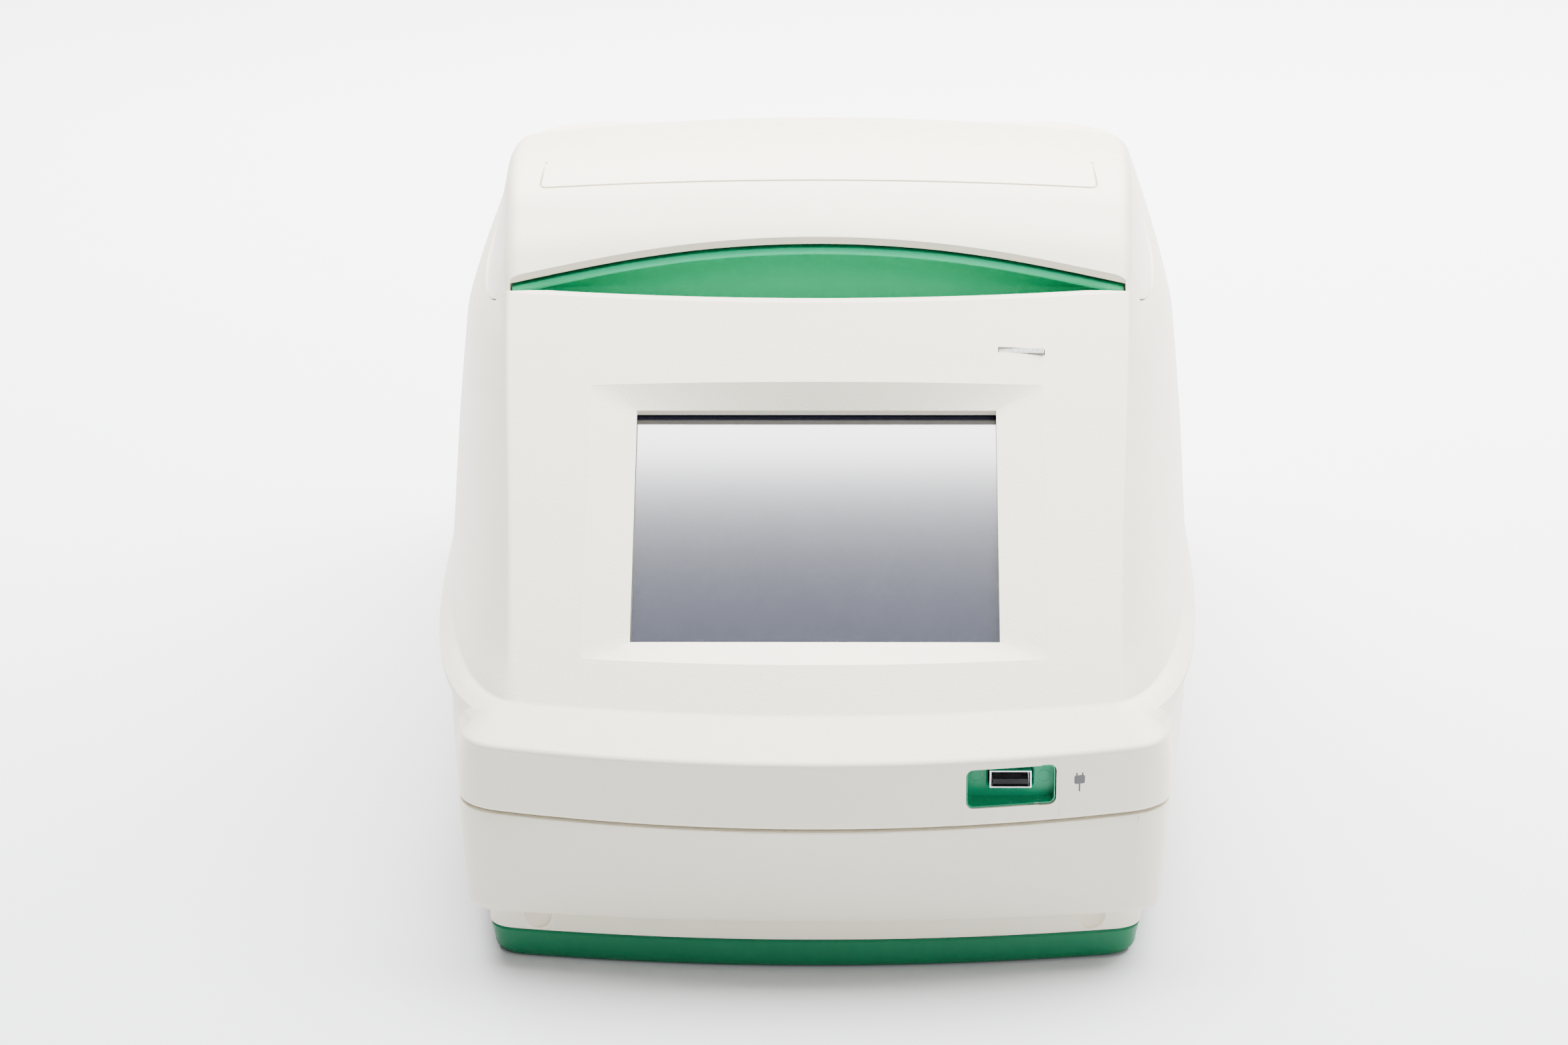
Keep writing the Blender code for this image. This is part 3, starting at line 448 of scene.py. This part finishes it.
def bottom_tray():
    rows = [inset(TRAY[0], 0.0), inset(TRAY[1], 0.45, 1.9), TRAY[1], inset(TRAY[1], -0.2, 5.0)]
    rows += [inset(TRAY[2], 0.0, 9.3), inset(TRAY[2], 0.5, 9.9)]
    tray = shell_loft("foot_band", rows)
    inner = [inset(row, WALL) for row in TRAY]
    cut(tray, shell_loft("below", [inset(inner[0], 0.0, 0.0), inset(inner[2], 0.0, 5.3)], 1))
    cut(tray, shell_loft("above", [inset(inner[1], 0.0, 7.8), inset(inner[2], 0.0, 11.0)], 1))
    slot_near, slot_far, slot_pitch, slot_width = 30.0, 84.0, 14.0, 5.0
    for side in (-1, 1):
        for i in range(7):
            y = -40.0 + slot_pitch * i
            x0, x1 = sorted((side * slot_near, side * slot_far))
            cut(tray, prism("slot", rounded(x0, y, x1, y + slot_width, 2.4, 5), "z", 4.0, 9.0))
    return tray


def scoop(x):
    """Round-bottomed notch in the plinth's front."""
    rings = []
    depth, half_width, low, high = 1.9, 4.9, 10.9, 15.5
    front = bowed(-222.5, 520, x)
    for k in range(9):
        a = math.pi / 2 * k / 8
        size = max(math.sin(a), 0.05)
        z = high - (high - low) * math.cos(a)
        rings.append([(x + half_width * size * math.cos(b), front + depth * size * math.sin(b), z)
                      for b in (2 * math.pi * i / 32 for i in range(32))])
    rings.append([(px, py, 18.3) for px, py, _ in rings[-1]])
    return loft("scoop", rings)


def base_housing():
    rows = [inset(PLINTH, 0.0, 10.2), inset(PLINTH, 0.0, 14.0), inset(PLINTH, 0.0, 18.2)]
    edge = [inset(BASE_LOW, 1.6), inset(BASE_LOW, 0.7, 18.8), inset(BASE_LOW, 0.1, 19.7)]
    rows += edge + [inset(BASE_LOW, -0.2, 21.0)]
    ts = [BASE_LOW[0], BASE_MID[0], BASE_TOP[0]]
    for z in (25.0, 30.0, 35.0, 40.0, 45.0, 49.0):
        columns = zip(BASE_LOW[1:], BASE_MID[1:], BASE_TOP[1:])
        rows.append((z,) + tuple(spline(ts, vs, z) for vs in columns))
    rows += [inset(BASE_TOP, 0.05, 51.7), inset(BASE_TOP, 0.25, 52.2), inset(BASE_TOP, 0.6)]
    base = shell_loft("lower_housing", rows)
    cut(base, shell_loft("cavity", BASE_CAVITY, 1))
    cut(base, scoop(-89.0), scoop(89.0))
    cut(base, box("inlet_pocket", (27.0, 231.3, 16.5), (93.0, 240.0, 51.0)))
    cut(base, box("inlet_hole", (29.6, 215.0, 19.5), (90.4, 240.0, 49.0)))
    path = [(100.6, -220.0, 20.5), (101.4, -220.7, 30.0), (102.6, -220.0, 44.0), (103.2, -219.2, 51.4)]
    for side in (-1, 1):
        join(base, hairline("mould_line", [(side * x, y, z) for x, y, z in path]))
    return base


def recess_cutter():
    """The shallow frame round the display: bevels from the bowed panel down to one flat rim."""
    steps = 24
    inner, outer, above = [], [], []
    rim_x, rim_s = SCREEN_X - 0.15, (SCREEN_S[0] + 0.15, SCREEN_S[1] - 0.15)
    for k in range(4):
        for i in range(steps):
            t = i / steps
            u, v = ((t, 0), (1, t), (1 - t, 1), (0, 1 - t))[k]
            inner_s = rim_s[0] + (rim_s[1] - rim_s[0]) * v
            inner.append(panel_point(rim_x * (2 * u - 1), inner_s, -RECESS_DEPTH))
            x = RECESS_X * (2 * u - 1)
            lift = (5.0 * (1 - v) + 1.4 * v) * (x / RECESS_X) ** 2
            s = RECESS_S[0] + (RECESS_S[1] - RECESS_S[0]) * v + lift
            outer.append(panel_point(x, s, panel_surface_n(x, s) - 0.03))
            above.append(panel_point(x, s, 8.0))
    return loft("recess", [inner, outer, above])


def display_pad():
    """Thicker wall behind the panel that the recess is sunk into."""
    rings = []
    low, high, back = 13.0, 135.0, -8.6
    for x in across(80.0, 12):
        front = panel_surface_n(x, 75.0) - 1.5
        corners = ((low, back), (high, back), (high, front), (low, front))
        rings.append([panel_point(x, s, n) for s, n in corners])
    return loft("pad", rings)


def hairline(name, path, proud=0.06):
    """The faint raised line that a joint in the mould leaves, along points on a front face."""
    half, inside = 0.16, 1.2
    rings = []
    for x, y, z in path:
        front, back = y - proud, y + inside
        rings.append([(x - half, front, z), (x + half, front, z), (x + half, back, z), (x - half, back, z)])
    return loft(name, rings)


def opening_cutter():
    """The well under the lid, through the housing's top."""
    outline = [(x, bowed(OPENING_FRONT_Y, PANEL_BOWS[1], x)) for x in across(103.0, 24)]
    right = [(106, -62), (110, -40), (112, -10), (112.8, 150), (112.8, 164), (111.6, 170), (109.6, 174)]
    right += [(107.5, OPENING_REAR_Y)]
    outline += right + [(-x, y) for x, y in reversed(right)]
    return prism("opening", outline, "z", 150.0, 200.0)


def front_channel():
    """Closes the gap between the deck's front edge and the inside of the panel's top strip."""
    rings = []
    thick, low, high = 1.6, 158.0, 183.0
    for x in across(101.5, 36):
        wall = bowed(OPENING_FRONT_Y - 0.2, PANEL_BOWS[1], x)
        section = [(wall, high), (wall, low), (DECK_FRONT_Y, low), (DECK_FRONT_Y, DECK_TOP)]
        section += [(wall + thick, DECK_TOP), (wall + thick, high)]
        rings.append([(x, y, z) for y, z in section])
    return loft("front_channel", rings)


def bezel_cavity():
    """Hollow behind the top strip of the panel."""
    rings = []
    inside_y, inside_z, run_per_rise, bow, rear_y = -215.15, 82.34, 1.2851, 430.0, -72.0
    for z in (160.0, 180.6):
        front = inside_y + (z - inside_z) * run_per_rise
        points = [(x, bowed(front, bow, x), z) for x in (-98, -66, -33, 0, 33, 66, 98)]
        points += [(98.0, rear_y, z), (-98.0, rear_y, z)]
        rings.append(points)
    return loft("bezel_cavity", rings)


def housing_heights():
    """Close together where the section turns, wider apart where it runs straight."""
    heights = [54.4, 58.0, 62.0, 66.0, 70.0]
    heights += [73.0, 74.0] + [74.3 + 0.2 * i for i in range(9)] + [77.0]
    heights += [79.0, 81.0, 83.0] + [84.3 + 0.1 * i for i in range(9)]
    heights += [87.0 + 3.5 * i for i in range(20)]
    heights += [156.0 + 1.5 * i for i in range(12)]
    return heights + [174.5, 177.0, 180.0, 182.5, 183.6]


def usb_outline(half_height, half_width, radius, z=USB_Z):
    """Rounded rectangle round the USB port, as (z, x) points."""
    return rounded(z - half_height, USB_X - half_width, z + half_height, USB_X + half_width, radius)


def upper_housing():
    first, last = HOUSING[0], HOUSING[-1]
    rows = [inset(first, 0.6), inset(first, 0.2, 53.6), inset(first, 0.0, 54.0)]
    rows += [housing_row(z) for z in housing_heights()]
    rows += [inset(last, 0.6)]
    housing = shell_loft("upper_shell", rows)
    cut(housing, shell_loft("cavity", CAVITY, 1))
    join(housing, display_pad())
    cut(housing, bezel_cavity(), opening_cutter())
    cut(housing, prism("lid_space", SEAM_PATH + [(250.0, 230.0), (-79.5, 230.0)], "x", -140.0, 140.0))
    cut(housing, recess_cutter())
    cut(housing, panel_box("display_hole", (-SCREEN_X, SCREEN_X), SCREEN_S, (-15.0, 2.0)))
    cut(housing, panel_box("display_rebate", (-65.5, 65.5), (24.5, 126.5), (-15.0, -7.0)))
    cut(housing, panel_box("status_hole", (60.3, 75.9), (142.6, 144.9), (-12.0, 4.0)))
    cut(housing, prism("usb_hole", usb_outline(6.6, 14.2, 2.4), "y", -245.0, -227.0))
    cut(housing, prism("usb_room", usb_outline(6.85, 14.45, 2.4), "y", -227.5, -215.0))
    cut(housing, box("rear_hole", (-102.0, 215.0, 60.0), (102.0, 245.0, 136.0)))
    for x in (46.3, 77.6):
        join(housing, hairline("tool_line", [(x, bowed(CHIN_Y, CHIN_BOW, x), z) for z in (54.5, 64.0, 73.8)]))
    return housing


# ---------------------------------------------------------------- front details

def usb_insert():
    """Green pocket set back inside the hole in the chin, with the socket's slot and two ejector marks."""
    outer = usb_outline(6.5, 14.1, 2.1)
    front = [(x, bowed(CHIN_Y, CHIN_BOW, x) + 0.8, z) for z, x in outer]
    back = [(x, -218.0, z) for z, x in outer]
    pocket = loft("usb_insert", [front, back])
    cut(pocket, prism("hollow", usb_outline(6.1, 13.7, 1.8), "y", -240.0, -221.0))
    slot = usb_outline(3.2, 7.1, 0.6, USB_SOCKET_Z)
    rim = usb_outline(3.8, 7.7, 1.2, USB_SOCKET_Z)
    funnel = [[(x, y, pz) for pz, x in ring] for y, ring in ((-218.0, slot), (-220.4, slot), (-221.1, rim))]
    cut(pocket, loft("slot", funnel[::-1]))
    for x in (USB_X - 10.7, USB_X + 10.7):
        mark = prism("mark", circle((USB_SOCKET_Z, x), 2.0, 32), "y", -221.1, -220.9)
        cut(mark, prism("core", circle((USB_SOCKET_Z, x), 1.8, 32), "y", -222.0, -220.0))
        cut(pocket, mark)
    return pocket


def chin_patch(name, outline, proud=0.04):
    """A printed shape on the chin, given as (x, z) points."""
    rings = []
    for out in (-0.4, proud):
        rings.append([(x, bowed(CHIN_Y, CHIN_BOW, x) - out, z) for x, z in outline])
    return loft(name, rings if turns_left(outline) else [ring[::-1] for ring in rings])


def upright(x, low, high, half=0.25):
    return [(x - half, low), (x + half, low), (x + half, high), (x - half, high)]


def plug_pictogram():
    """Generic plug: a body with two prongs and a lead."""
    x, z = 83.9, 66.6
    body = [(x + a, z + b) for a, b in rounded(-1.7, -1.6, 1.7, 1.3, 0.6)]
    mark = chin_patch("port_pictogram", body)
    for dx in (-0.9, 0.9):
        join(mark, chin_patch("prong", upright(x + dx, z + 1.1, z + 2.9)))
    join(mark, chin_patch("lead", upright(x, z - 4.2, z - 1.4)))
    return mark


# ---------------------------------------------------------------- block and lid

def sample_block():
    """The block with its tapered wells; each level is a depth from the top and a radius."""
    w, d, h = BLOCK_SIZE
    low, high = (-w / 2, BLOCK_Y - d / 2, BLOCK_TOP - h), (w / 2, BLOCK_Y + d / 2, BLOCK_TOP)
    block = box("well_block", low, high)
    sides = 24
    levels = ((-14.5, 1.5), (-13.9, 1.9), (-5.2, WELL_R), (-0.35, WELL_R), (0.15, WELL_R + 0.5))
    points, faces = [], []
    for column in range(WELL_COLUMNS):
        for row in range(WELL_ROWS):
            cx = (column - (WELL_COLUMNS - 1) / 2) * WELL_PITCH
            cy = BLOCK_Y + (row - (WELL_ROWS - 1) / 2) * WELL_PITCH
            first = len(points)
            for dz, r in levels:
                points += [(x, y, BLOCK_TOP + dz) for x, y in circle((cx, cy), r, sides)]
            top = first + sides * (len(levels) - 1)
            faces.append(tuple(first + i for i in reversed(range(sides))))
            faces.append(tuple(top + i for i in range(sides)))
            for j in range(len(levels) - 1):
                for i in range(sides):
                    a, b = first + j * sides + i, first + j * sides + (i + 1) % sides
                    faces.append((a, b, b + sides, a + sides))
    return cut(block, solid("wells", points, faces))


def coil(name, x, y):
    """Compression spring between the pressing plate and the liner."""
    low, high = PLATE_TOP + 0.5, LINER_LOW - 0.4
    radius, wire, turns, steps, sides = 4.2, 0.35, 3.0, 96, 8
    rings = []
    for i in range(steps + 1):
        a = 2 * math.pi * turns * i / steps
        z = low + wire + (high - low - 2 * wire) * i / steps
        ring = []
        for k in range(sides):
            b = 2 * math.pi * k / sides
            r = radius + wire * math.cos(b)
            ring.append((x + r * math.cos(a), y + r * math.sin(a), z + wire * math.sin(b)))
        rings.append(ring[::-1])
    return loft(name, rings, sharp=60.0)


def groove_cutter():
    """The U-shaped parting groove on the lid's top."""
    side_x, front_y, corner_y, rear_y, rear_x = 95.4, -50.0, -40.0, -21.0, 94.3
    half_width, bend = 0.45, 2.2
    path = []
    for i in range(9):
        t = i / 8
        y = rear_y + (corner_y + bend - rear_y) * t
        path.append((rear_x + (side_x - rear_x) * t, y, min(1.8, 0.3 + 3.0 * t)))
    for i in range(1, 6):
        a = math.pi / 2 * i / 6
        path.append((side_x - bend * (1 - math.cos(a)), corner_y + bend - 2.6 * math.sin(a), 1.0))
    for i in range(41):
        x = (side_x - 2.6) * (1 - i / 40)
        path.append((x, front_y + (corner_y - front_y) * (x / side_x) ** 2, 1.0))
    path += [(-x, y, deep) for x, y, deep in path[-2::-1]]
    rings = []
    for i, (x, y, deep) in enumerate(path):
        ahead, behind = path[min(i + 1, len(path) - 1)], path[max(i - 1, 0)]
        run = Vector((ahead[0] - behind[0], ahead[1] - behind[1])).normalized()
        left = (x - half_width * run.y, y + half_width * run.x)
        right = (x + half_width * run.y, y - half_width * run.x)
        z = lid_surface_z(x, y)
        rings.append([(*left, z - deep), (*left, z + 2.0), (*right, z + 2.0), (*right, z - deep)])
    return loft("groove", rings)


def lid_shell():
    lid = loft("lid_cover", [lid_ring(s) for s in STATIONS], flat_ends=False)
    line = [(s[0], s[1]) for s in LID]
    inner = []
    for i, station in enumerate(LID):
        a, b = line[max(i - 1, 0)], line[min(i + 1, len(line) - 1)]
        run, rise = b[0] - a[0], b[1] - a[1]
        size = math.hypot(run, rise)
        y, z = station[0] + WALL * rise / size, station[1] - WALL * run / size
        inner.append((y, z) + station[2:])
    inner[-1] = (168.5, 173.8) + inner[-1][2:]
    cut(lid, loft("hollow", [lid_ring(s, WALL, 160.0, 8, 2) for s in inner], flat_ends=False))
    seam = [(y, z + LID_GAP) for y, z in SEAM_PATH]
    seam[0] = (-79.5, 190.0)
    below = [(-120.0, 190.0)] + seam + [(250.0, 140.0), (-120.0, 140.0)]
    cut(lid, prism("below_seam", below, "x", -140.0, 140.0))
    rings = []
    front, back, low, bevel = -76.0, -52.1, 150.0, 0.5
    for x in across(103.9, 72):
        under = lid_surface_z(x, LIP_Y) - LIP_HEIGHT
        rings.append([(x, front, low), (x, back, low), (x, back, under), (x, LIP_Y + bevel, under),
                      (x, LIP_Y - 0.1, under + bevel), (x, front, under + bevel)])
    cut(lid, box("front", (-104.0, -121.0, 149.0), (104.0, LIP_Y, 233.0)), loft("arch", rings))
    return cut(lid, groove_cutter())


def lever_section(x):
    """The grip's section: rounded bar at the front, hollow for the fingers, tail, and back."""
    top = lid_surface_z(x, LIP_Y) - LIP_HEIGHT - 1.5
    tall = 2.5 + 0.4 * (x / 95.0) ** 2
    bar_y, bar_bulge = -71.9, 1.1
    section = []
    for i in range(13):
        a = math.pi / 2 + math.pi * i / 12
        section.append((x, bar_y + bar_bulge * math.cos(a), top - tall / 2 + tall / 2 * math.sin(a)))
    hollow = (-71.4, top - tall - 0.1), (-62.0, top - tall - 0.3), (-54.0, top - 9.0), (-52.0, 178.0)
    for i in range(11):
        y, z = bezier(*hollow, i / 10)
        section.append((x, y, z))
    section += [(x, -49.5, 166.0), (x, -47.0, 166.0), (x, -49.4, 179.0)]
    section += [(x, -54.5, top - 2.9), (x, -63.0, top - 0.3)]
    return section


def grip():
    rings = [lever_section(x) for x in across(103.3, 96)]
    lever = loft("grip_cover", rings, sharp=40.0)
    for x in (-60.0, 60.0):
        outline = [(-58.0, 188.0), (-50.0, 184.0), (-48.2, 197.0), (-52.0, 200.8), (-55.8, 197.0)]
        join(lever, prism("knuckle", outline, "x", x - 3.0, x + 3.0))
    return cut(lever, prism("bore", circle((LEVER_Y, LEVER_Z), LEVER_R + 0.1, 32), "x", -80.0, 80.0))


def screw(name, x, y, z):
    """Domed screw head with a cross recess, facing the rear."""
    rings = []
    for out, r in ((0.0, 3.0), (0.5, 3.0), (1.1, 2.4), (1.4, 1.4)):
        rings.append([(px, y + out, pz) for pz, px in circle((z, x), r, 24)])
    head = loft(name, rings)
    cut(head, box("slot", (x - 1.5, y + 0.7, z - 0.25), (x + 1.5, y + 3.0, z + 0.25)))
    return cut(head, box("slot", (x - 0.25, y + 0.7, z - 1.5), (x + 0.25, y + 3.0, z + 1.5)))


# ---------------------------------------------------------------- materials

class Nodes:
    """Short names for building one material's node tree."""

    def __init__(self, name):
        self.material = bpy.data.materials.new(name)
        self.material.use_nodes = True
        self.tree = self.material.node_tree
        self.shader = self.tree.nodes["Principled BSDF"]
        self.coords = self.tree.nodes.new("ShaderNodeTexCoord").outputs["Object"]

    def link(self, source, target):
        self.tree.links.new(source, target)

    def noise(self, scale, detail=2.0, stretch=None):
        node = self.tree.nodes.new("ShaderNodeTexNoise")
        node.inputs["Scale"].default_value = scale
        node.inputs["Detail"].default_value = detail
        source = self.coords
        if stretch:
            mapping = self.tree.nodes.new("ShaderNodeMapping")
            mapping.inputs["Scale"].default_value = stretch
            self.link(source, mapping.inputs["Vector"])
            source = mapping.outputs["Vector"]
        self.link(source, node.inputs["Vector"])
        return node.outputs["Fac"]

    def spread(self, source, low, high, start=0.3, stop=0.7):
        node = self.tree.nodes.new("ShaderNodeMapRange")
        values = (("From Min", start), ("From Max", stop), ("To Min", low), ("To Max", high))
        for key, value in values:
            node.inputs[key].default_value = value
        self.link(source, node.inputs["Value"])
        return node.outputs["Result"]

    def blend(self, factor, first, second):
        node = self.tree.nodes.new("ShaderNodeMix")
        node.data_type = "RGBA"
        self.link(factor, node.inputs["Factor"])
        for socket, value in ((node.inputs[6], first), (node.inputs[7], second)):
            if isinstance(value, tuple):
                socket.default_value = (*value, 1.0)
            else:
                self.link(value, socket)
        return node.outputs[2]

    def bump(self, source, strength, distance, normal=None):
        node = self.tree.nodes.new("ShaderNodeBump")
        node.inputs["Strength"].default_value = strength
        node.inputs["Distance"].default_value = distance
        self.link(source, node.inputs["Height"])
        if normal:
            self.link(normal, node.inputs["Normal"])
        return node.outputs["Normal"]

    def set(self, **values):
        for key, value in values.items():
            socket = self.shader.inputs[key.replace("_", " ")]
            if isinstance(value, bpy.types.NodeSocket):
                self.link(value, socket)
            else:
                socket.default_value = value


def shade(colour, factor):
    return tuple(min(c * factor, 1.0) for c in colour)


def moulded(name, colour, roughness, grain, scale=1500.0, tint=0.03, soil=None, gloss=0.5):
    """Moulded plastic: fine grain, faint clouding of the colour, uneven gloss, specks where there is soil."""
    n = Nodes(name)
    cloud = n.spread(n.noise(7.0, 4.0), 0.0, 1.0)
    body = n.blend(cloud, shade(colour, 1.0 - tint), shade(colour, 1.0 + tint))
    if soil:
        specks = n.spread(n.noise(950.0, 1.0), 0.0, 0.6, 0.70, 0.76)
        body = n.blend(specks, body, soil)
    fine = n.noise(scale, 3.0)
    n.set(Base_Color=body, Roughness=n.spread(n.noise(240.0, 2.0), roughness - 0.05, roughness + 0.05))
    n.set(Normal=n.bump(fine, grain, 0.0003))
    if gloss < 0.5:
        n.set(Specular_IOR_Level=gloss)
    return n.material


def metal(name, colour, roughness, stretch=(1.0, 30.0, 1.0)):
    """Metal with fine drawn lines across one axis."""
    n = Nodes(name)
    lines = n.noise(300.0, 4.0, stretch)
    cloud = n.spread(n.noise(18.0, 3.0), 0.0, 1.0)
    n.set(Base_Color=n.blend(cloud, shade(colour, 0.93), colour), Metallic=1.0)
    n.set(Roughness=n.spread(lines, roughness - 0.08, roughness + 0.08))
    n.set(Normal=n.bump(lines, 0.08, 0.0001))
    return n.material


def anti_glare(name, colour):
    """Matt film over a dark display, with a fine speckle and a few faint scratches."""
    n = Nodes(name)
    speckle = n.noise(2600.0, 2.0)
    scratch = n.spread(n.noise(60.0, 6.0, (1.0, 14.0, 1.0)), 0.0, 0.12, 0.72, 0.76)
    tone = n.blend(n.spread(speckle, 0.0, 1.0), shade(colour, 0.85), shade(colour, 1.2))
    n.set(Base_Color=n.blend(scratch, tone, (0.5, 0.5, 0.55)), Roughness=n.spread(speckle, 0.10, 0.15))
    n.set(Normal=n.bump(speckle, 0.04, 0.00005), IOR=2.4, Coat_Weight=1.0, Coat_Roughness=0.08, Coat_IOR=1.8)
    return n.material


def board(name):
    """Solder mask over copper tracks."""
    n = Nodes(name)
    tracks = n.tree.nodes.new("ShaderNodeTexBrick")
    tracks.inputs["Scale"].default_value = 120.0
    tracks.inputs["Mortar Size"].default_value = 0.03
    n.link(n.coords, tracks.inputs["Vector"])
    n.set(Base_Color=n.blend(tracks.outputs["Fac"], (0.012, 0.11, 0.04), (0.03, 0.22, 0.08)))
    n.set(Roughness=0.4, Normal=n.bump(tracks.outputs["Fac"], 0.2, 0.0001))
    return n.material


def window(name):
    """Frosted light window."""
    n = Nodes(name)
    frost = n.noise(1200.0, 3.0)
    n.set(Base_Color=n.blend(n.spread(frost, 0.0, 1.0), (0.30, 0.30, 0.30), (0.55, 0.54, 0.53)))
    n.set(Roughness=n.spread(frost, 0.2, 0.45), Normal=n.bump(frost, 0.25, 0.0002))
    return n.material


WHITE = (0.83, 0.770, 0.63)
GREEN = (0.004, 0.60, 0.29)
# The foot band's colour is the green plastic painted much darker: painted shade standing in for the shade
# close to the table.
FOOT_GREEN_PAINTED_SHADE = (0.002, 0.13, 0.055)
BLACK = (0.009, 0.009, 0.010)
GLASS = (0.018, 0.021, 0.042)


def make_materials():
    return {
        "housing_white": moulded("housing_white", WHITE, 0.42, 0.30, 1700.0, 0.012),
        "green_plastic": moulded("green_plastic", GREEN, 0.34, 0.08, 1200.0, 0.04, gloss=0.35),
        "rubber": moulded("rubber", (0.03, 0.03, 0.03), 0.75, 0.35, 900.0, 0.15),
        "black_plastic": moulded("black_plastic", BLACK, 0.50, 0.30, 1300.0, 0.10, gloss=0.3),
        "dark_coating": moulded("dark_coating", (0.04, 0.04, 0.045), 0.40, 0.20, 1500.0, 0.10),
        "screen_glass": anti_glare("screen_glass", GLASS),
        "status_window": window("status_window"),
        "steel": metal("steel", (0.62, 0.62, 0.64), 0.34),
        "bright_steel": metal("bright_steel", (0.82, 0.82, 0.84), 0.20, (1.0, 1.0, 20.0)),
        "aluminium": metal("aluminium", (0.82, 0.83, 0.85), 0.42, (30.0, 1.0, 1.0)),
        "brass": metal("brass", (0.80, 0.62, 0.28), 0.28),
        "ceramic": moulded("ceramic", (0.85, 0.85, 0.82), 0.5, 0.15, 800.0, 0.03),
        "circuit_board": board("circuit_board"),
    }


# ---------------------------------------------------------------- build

def dress(piece, body, slot, material, *nodes, sharp=32):
    piece.data.materials.clear()
    piece.data.materials.append(material)
    piece.data.shade_smooth()
    piece.data.set_sharp_from_angle(angle=math.radians(sharp))
    normals = piece.modifiers.new("Normals", "WEIGHTED_NORMAL")
    normals.keep_sharp = True
    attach(piece, body)
    if nodes:
        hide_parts(*nodes)


def make_pieces(mats):
    white, green = mats["housing_white"], mats["green_plastic"]
    # The foot band gets a darker copy of the green plastic: painted shade for its shaded place along the
    # table.
    band = moulded("foot_green_painted_shade", FOOT_GREEN_PAINTED_SHADE, 0.45, 0.08, 1200.0, 0.05, gloss=0.25)
    dress(bottom_tray(), "chassis", "green_plastic", band, "bottom_tray")
    dress(base_housing(), "chassis", "housing_white", white, "base_housing")
    dress(upper_housing(), "chassis", "housing_white", white, "upper_housing", sharp=12)
    dress(front_channel(), "chassis", "housing_white", white)
    soil = (0.45, 0.50, 0.45)
    # The pocket's green is the green plastic at half brightness: painted shade for the recess it sits in. The
    # pale specks are soil.
    pocket = moulded("pocket_green_painted_shade", shade(GREEN, 0.5), 0.36, 0.10, 1200.0, 0.04, soil, gloss=0.35)
    dress(usb_insert(), "chassis", "green_plastic", pocket, "usb_pocket")
    ink = moulded("ink", (0.09, 0.09, 0.095), 0.55, 0.15, 1700.0, 0.05)
    dress(plug_pictogram(), "chassis", "black_plastic", ink)
    dress(sample_block(), "chassis", "aluminium", mats["aluminium"], "sample_block")
    dress(lid_shell(), "lid", "housing_white", white, "lid_shell")
    dress(grip(), "lever", "green_plastic", green, "grip_lever")
    for x in (-POST_X, POST_X):
        for y in POST_Y:
            place = ("left" if x < 0 else "right") + ("_front" if y < BLOCK_Y else "_rear")
            spring = coil("coil_" + place, x, y)
            dress(spring, "lid", "steel", mats["steel"], "spring_" + place)
            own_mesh(spring)
    for x in (-98.0, 98.0):
        for z in (64.0, 132.0):
            name = "rear_screw_%s_%s" % ("left" if x < 0 else "right", "low" if z < 100 else "high")
            dress(screw(name, x, 231.05, z), "chassis", "steel", mats["steel"])


def dress_nodes(mats):
    for part in frame["record"]["subparts"]:
        node = frame["nodes"][part["node"]]
        node.data.materials.clear()
        node.data.materials.append(mats[part["material_slot"]])


# ---------------------------------------------------------------- stage

def add_light(name, place, target, size, power, tint=(1.0, 1.0, 1.0)):
    data = bpy.data.lights.new(name, "AREA")
    data.shape = "RECTANGLE"
    data.size, data.size_y = size
    data.energy = power
    data.color = tint
    lamp = bpy.data.objects.new(name, data)
    lamp.location = place
    lamp.rotation_euler = (Vector(target) - Vector(place)).to_track_quat("-Z", "Y").to_euler()
    bpy.context.scene.collection.objects.link(lamp)


def make_stage():
    corners = [(-6000, -4000, 0), (6000, -4000, 0), (6000, 8000, 0), (-6000, 8000, 0)]
    floor = solid("floor", corners, [(0, 1, 2, 3)])
    n = Nodes("floor_painted_shade")
    axes = n.tree.nodes.new("ShaderNodeSeparateXYZ")
    n.link(n.coords, axes.inputs["Vector"])
    # The floor is painted darker towards the front and lighter towards the rear: painted shade, not an evenly
    # lit floor colour.
    near, far = (0.60, 0.61, 0.63), (0.92, 0.92, 0.94)
    depth = n.spread(axes.outputs["Y"], 0.0, 1.0, -0.55, 0.9)
    n.set(Base_Color=n.blend(depth, near, far), Roughness=0.55)
    floor.data.materials.append(n.material)
    world = bpy.data.worlds.new("studio")
    world.use_nodes = True
    background = world.node_tree.nodes["Background"]
    background.inputs["Color"].default_value = (0.93, 0.96, 1.0, 1.0)
    background.inputs["Strength"].default_value = 0.34
    bpy.context.scene.world = world
    add_light("overhead", (0.25, 0.66, 1.25), (0.25, 0.66, 0.0), (2.2, 1.74), 260.0)
    add_light("front_fill", (1.1, -2.2, 1.1), (0.0, -0.1, 0.1), (1.4, 1.2), 26.0)


def make_camera():
    """Long lens, 19 degrees down, a little to the right of the centre line."""
    yaw, down, lean = 0.6, 19.0, -0.16
    data = bpy.data.cameras.new("camera")
    data.sensor_width = 36.0
    data.lens = 109.4
    data.shift_x = -0.0234
    data.clip_end = 50.0
    camera = bpy.data.objects.new("camera", data)
    camera.location = (0.017, -1.621, 0.633)
    turn = Matrix.Rotation(math.radians(yaw), 4, "Z")
    tilt = Matrix.Rotation(math.radians(90.0 - down), 4, "X")
    roll = Matrix.Rotation(math.radians(lean), 4, "Z")
    camera.rotation_euler = (turn @ tilt @ roll).to_euler()
    bpy.context.scene.collection.objects.link(camera)
    bpy.context.scene.camera = camera


make_camera()
make_stage()
materials = make_materials()
dress_nodes(materials)
make_pieces(materials)
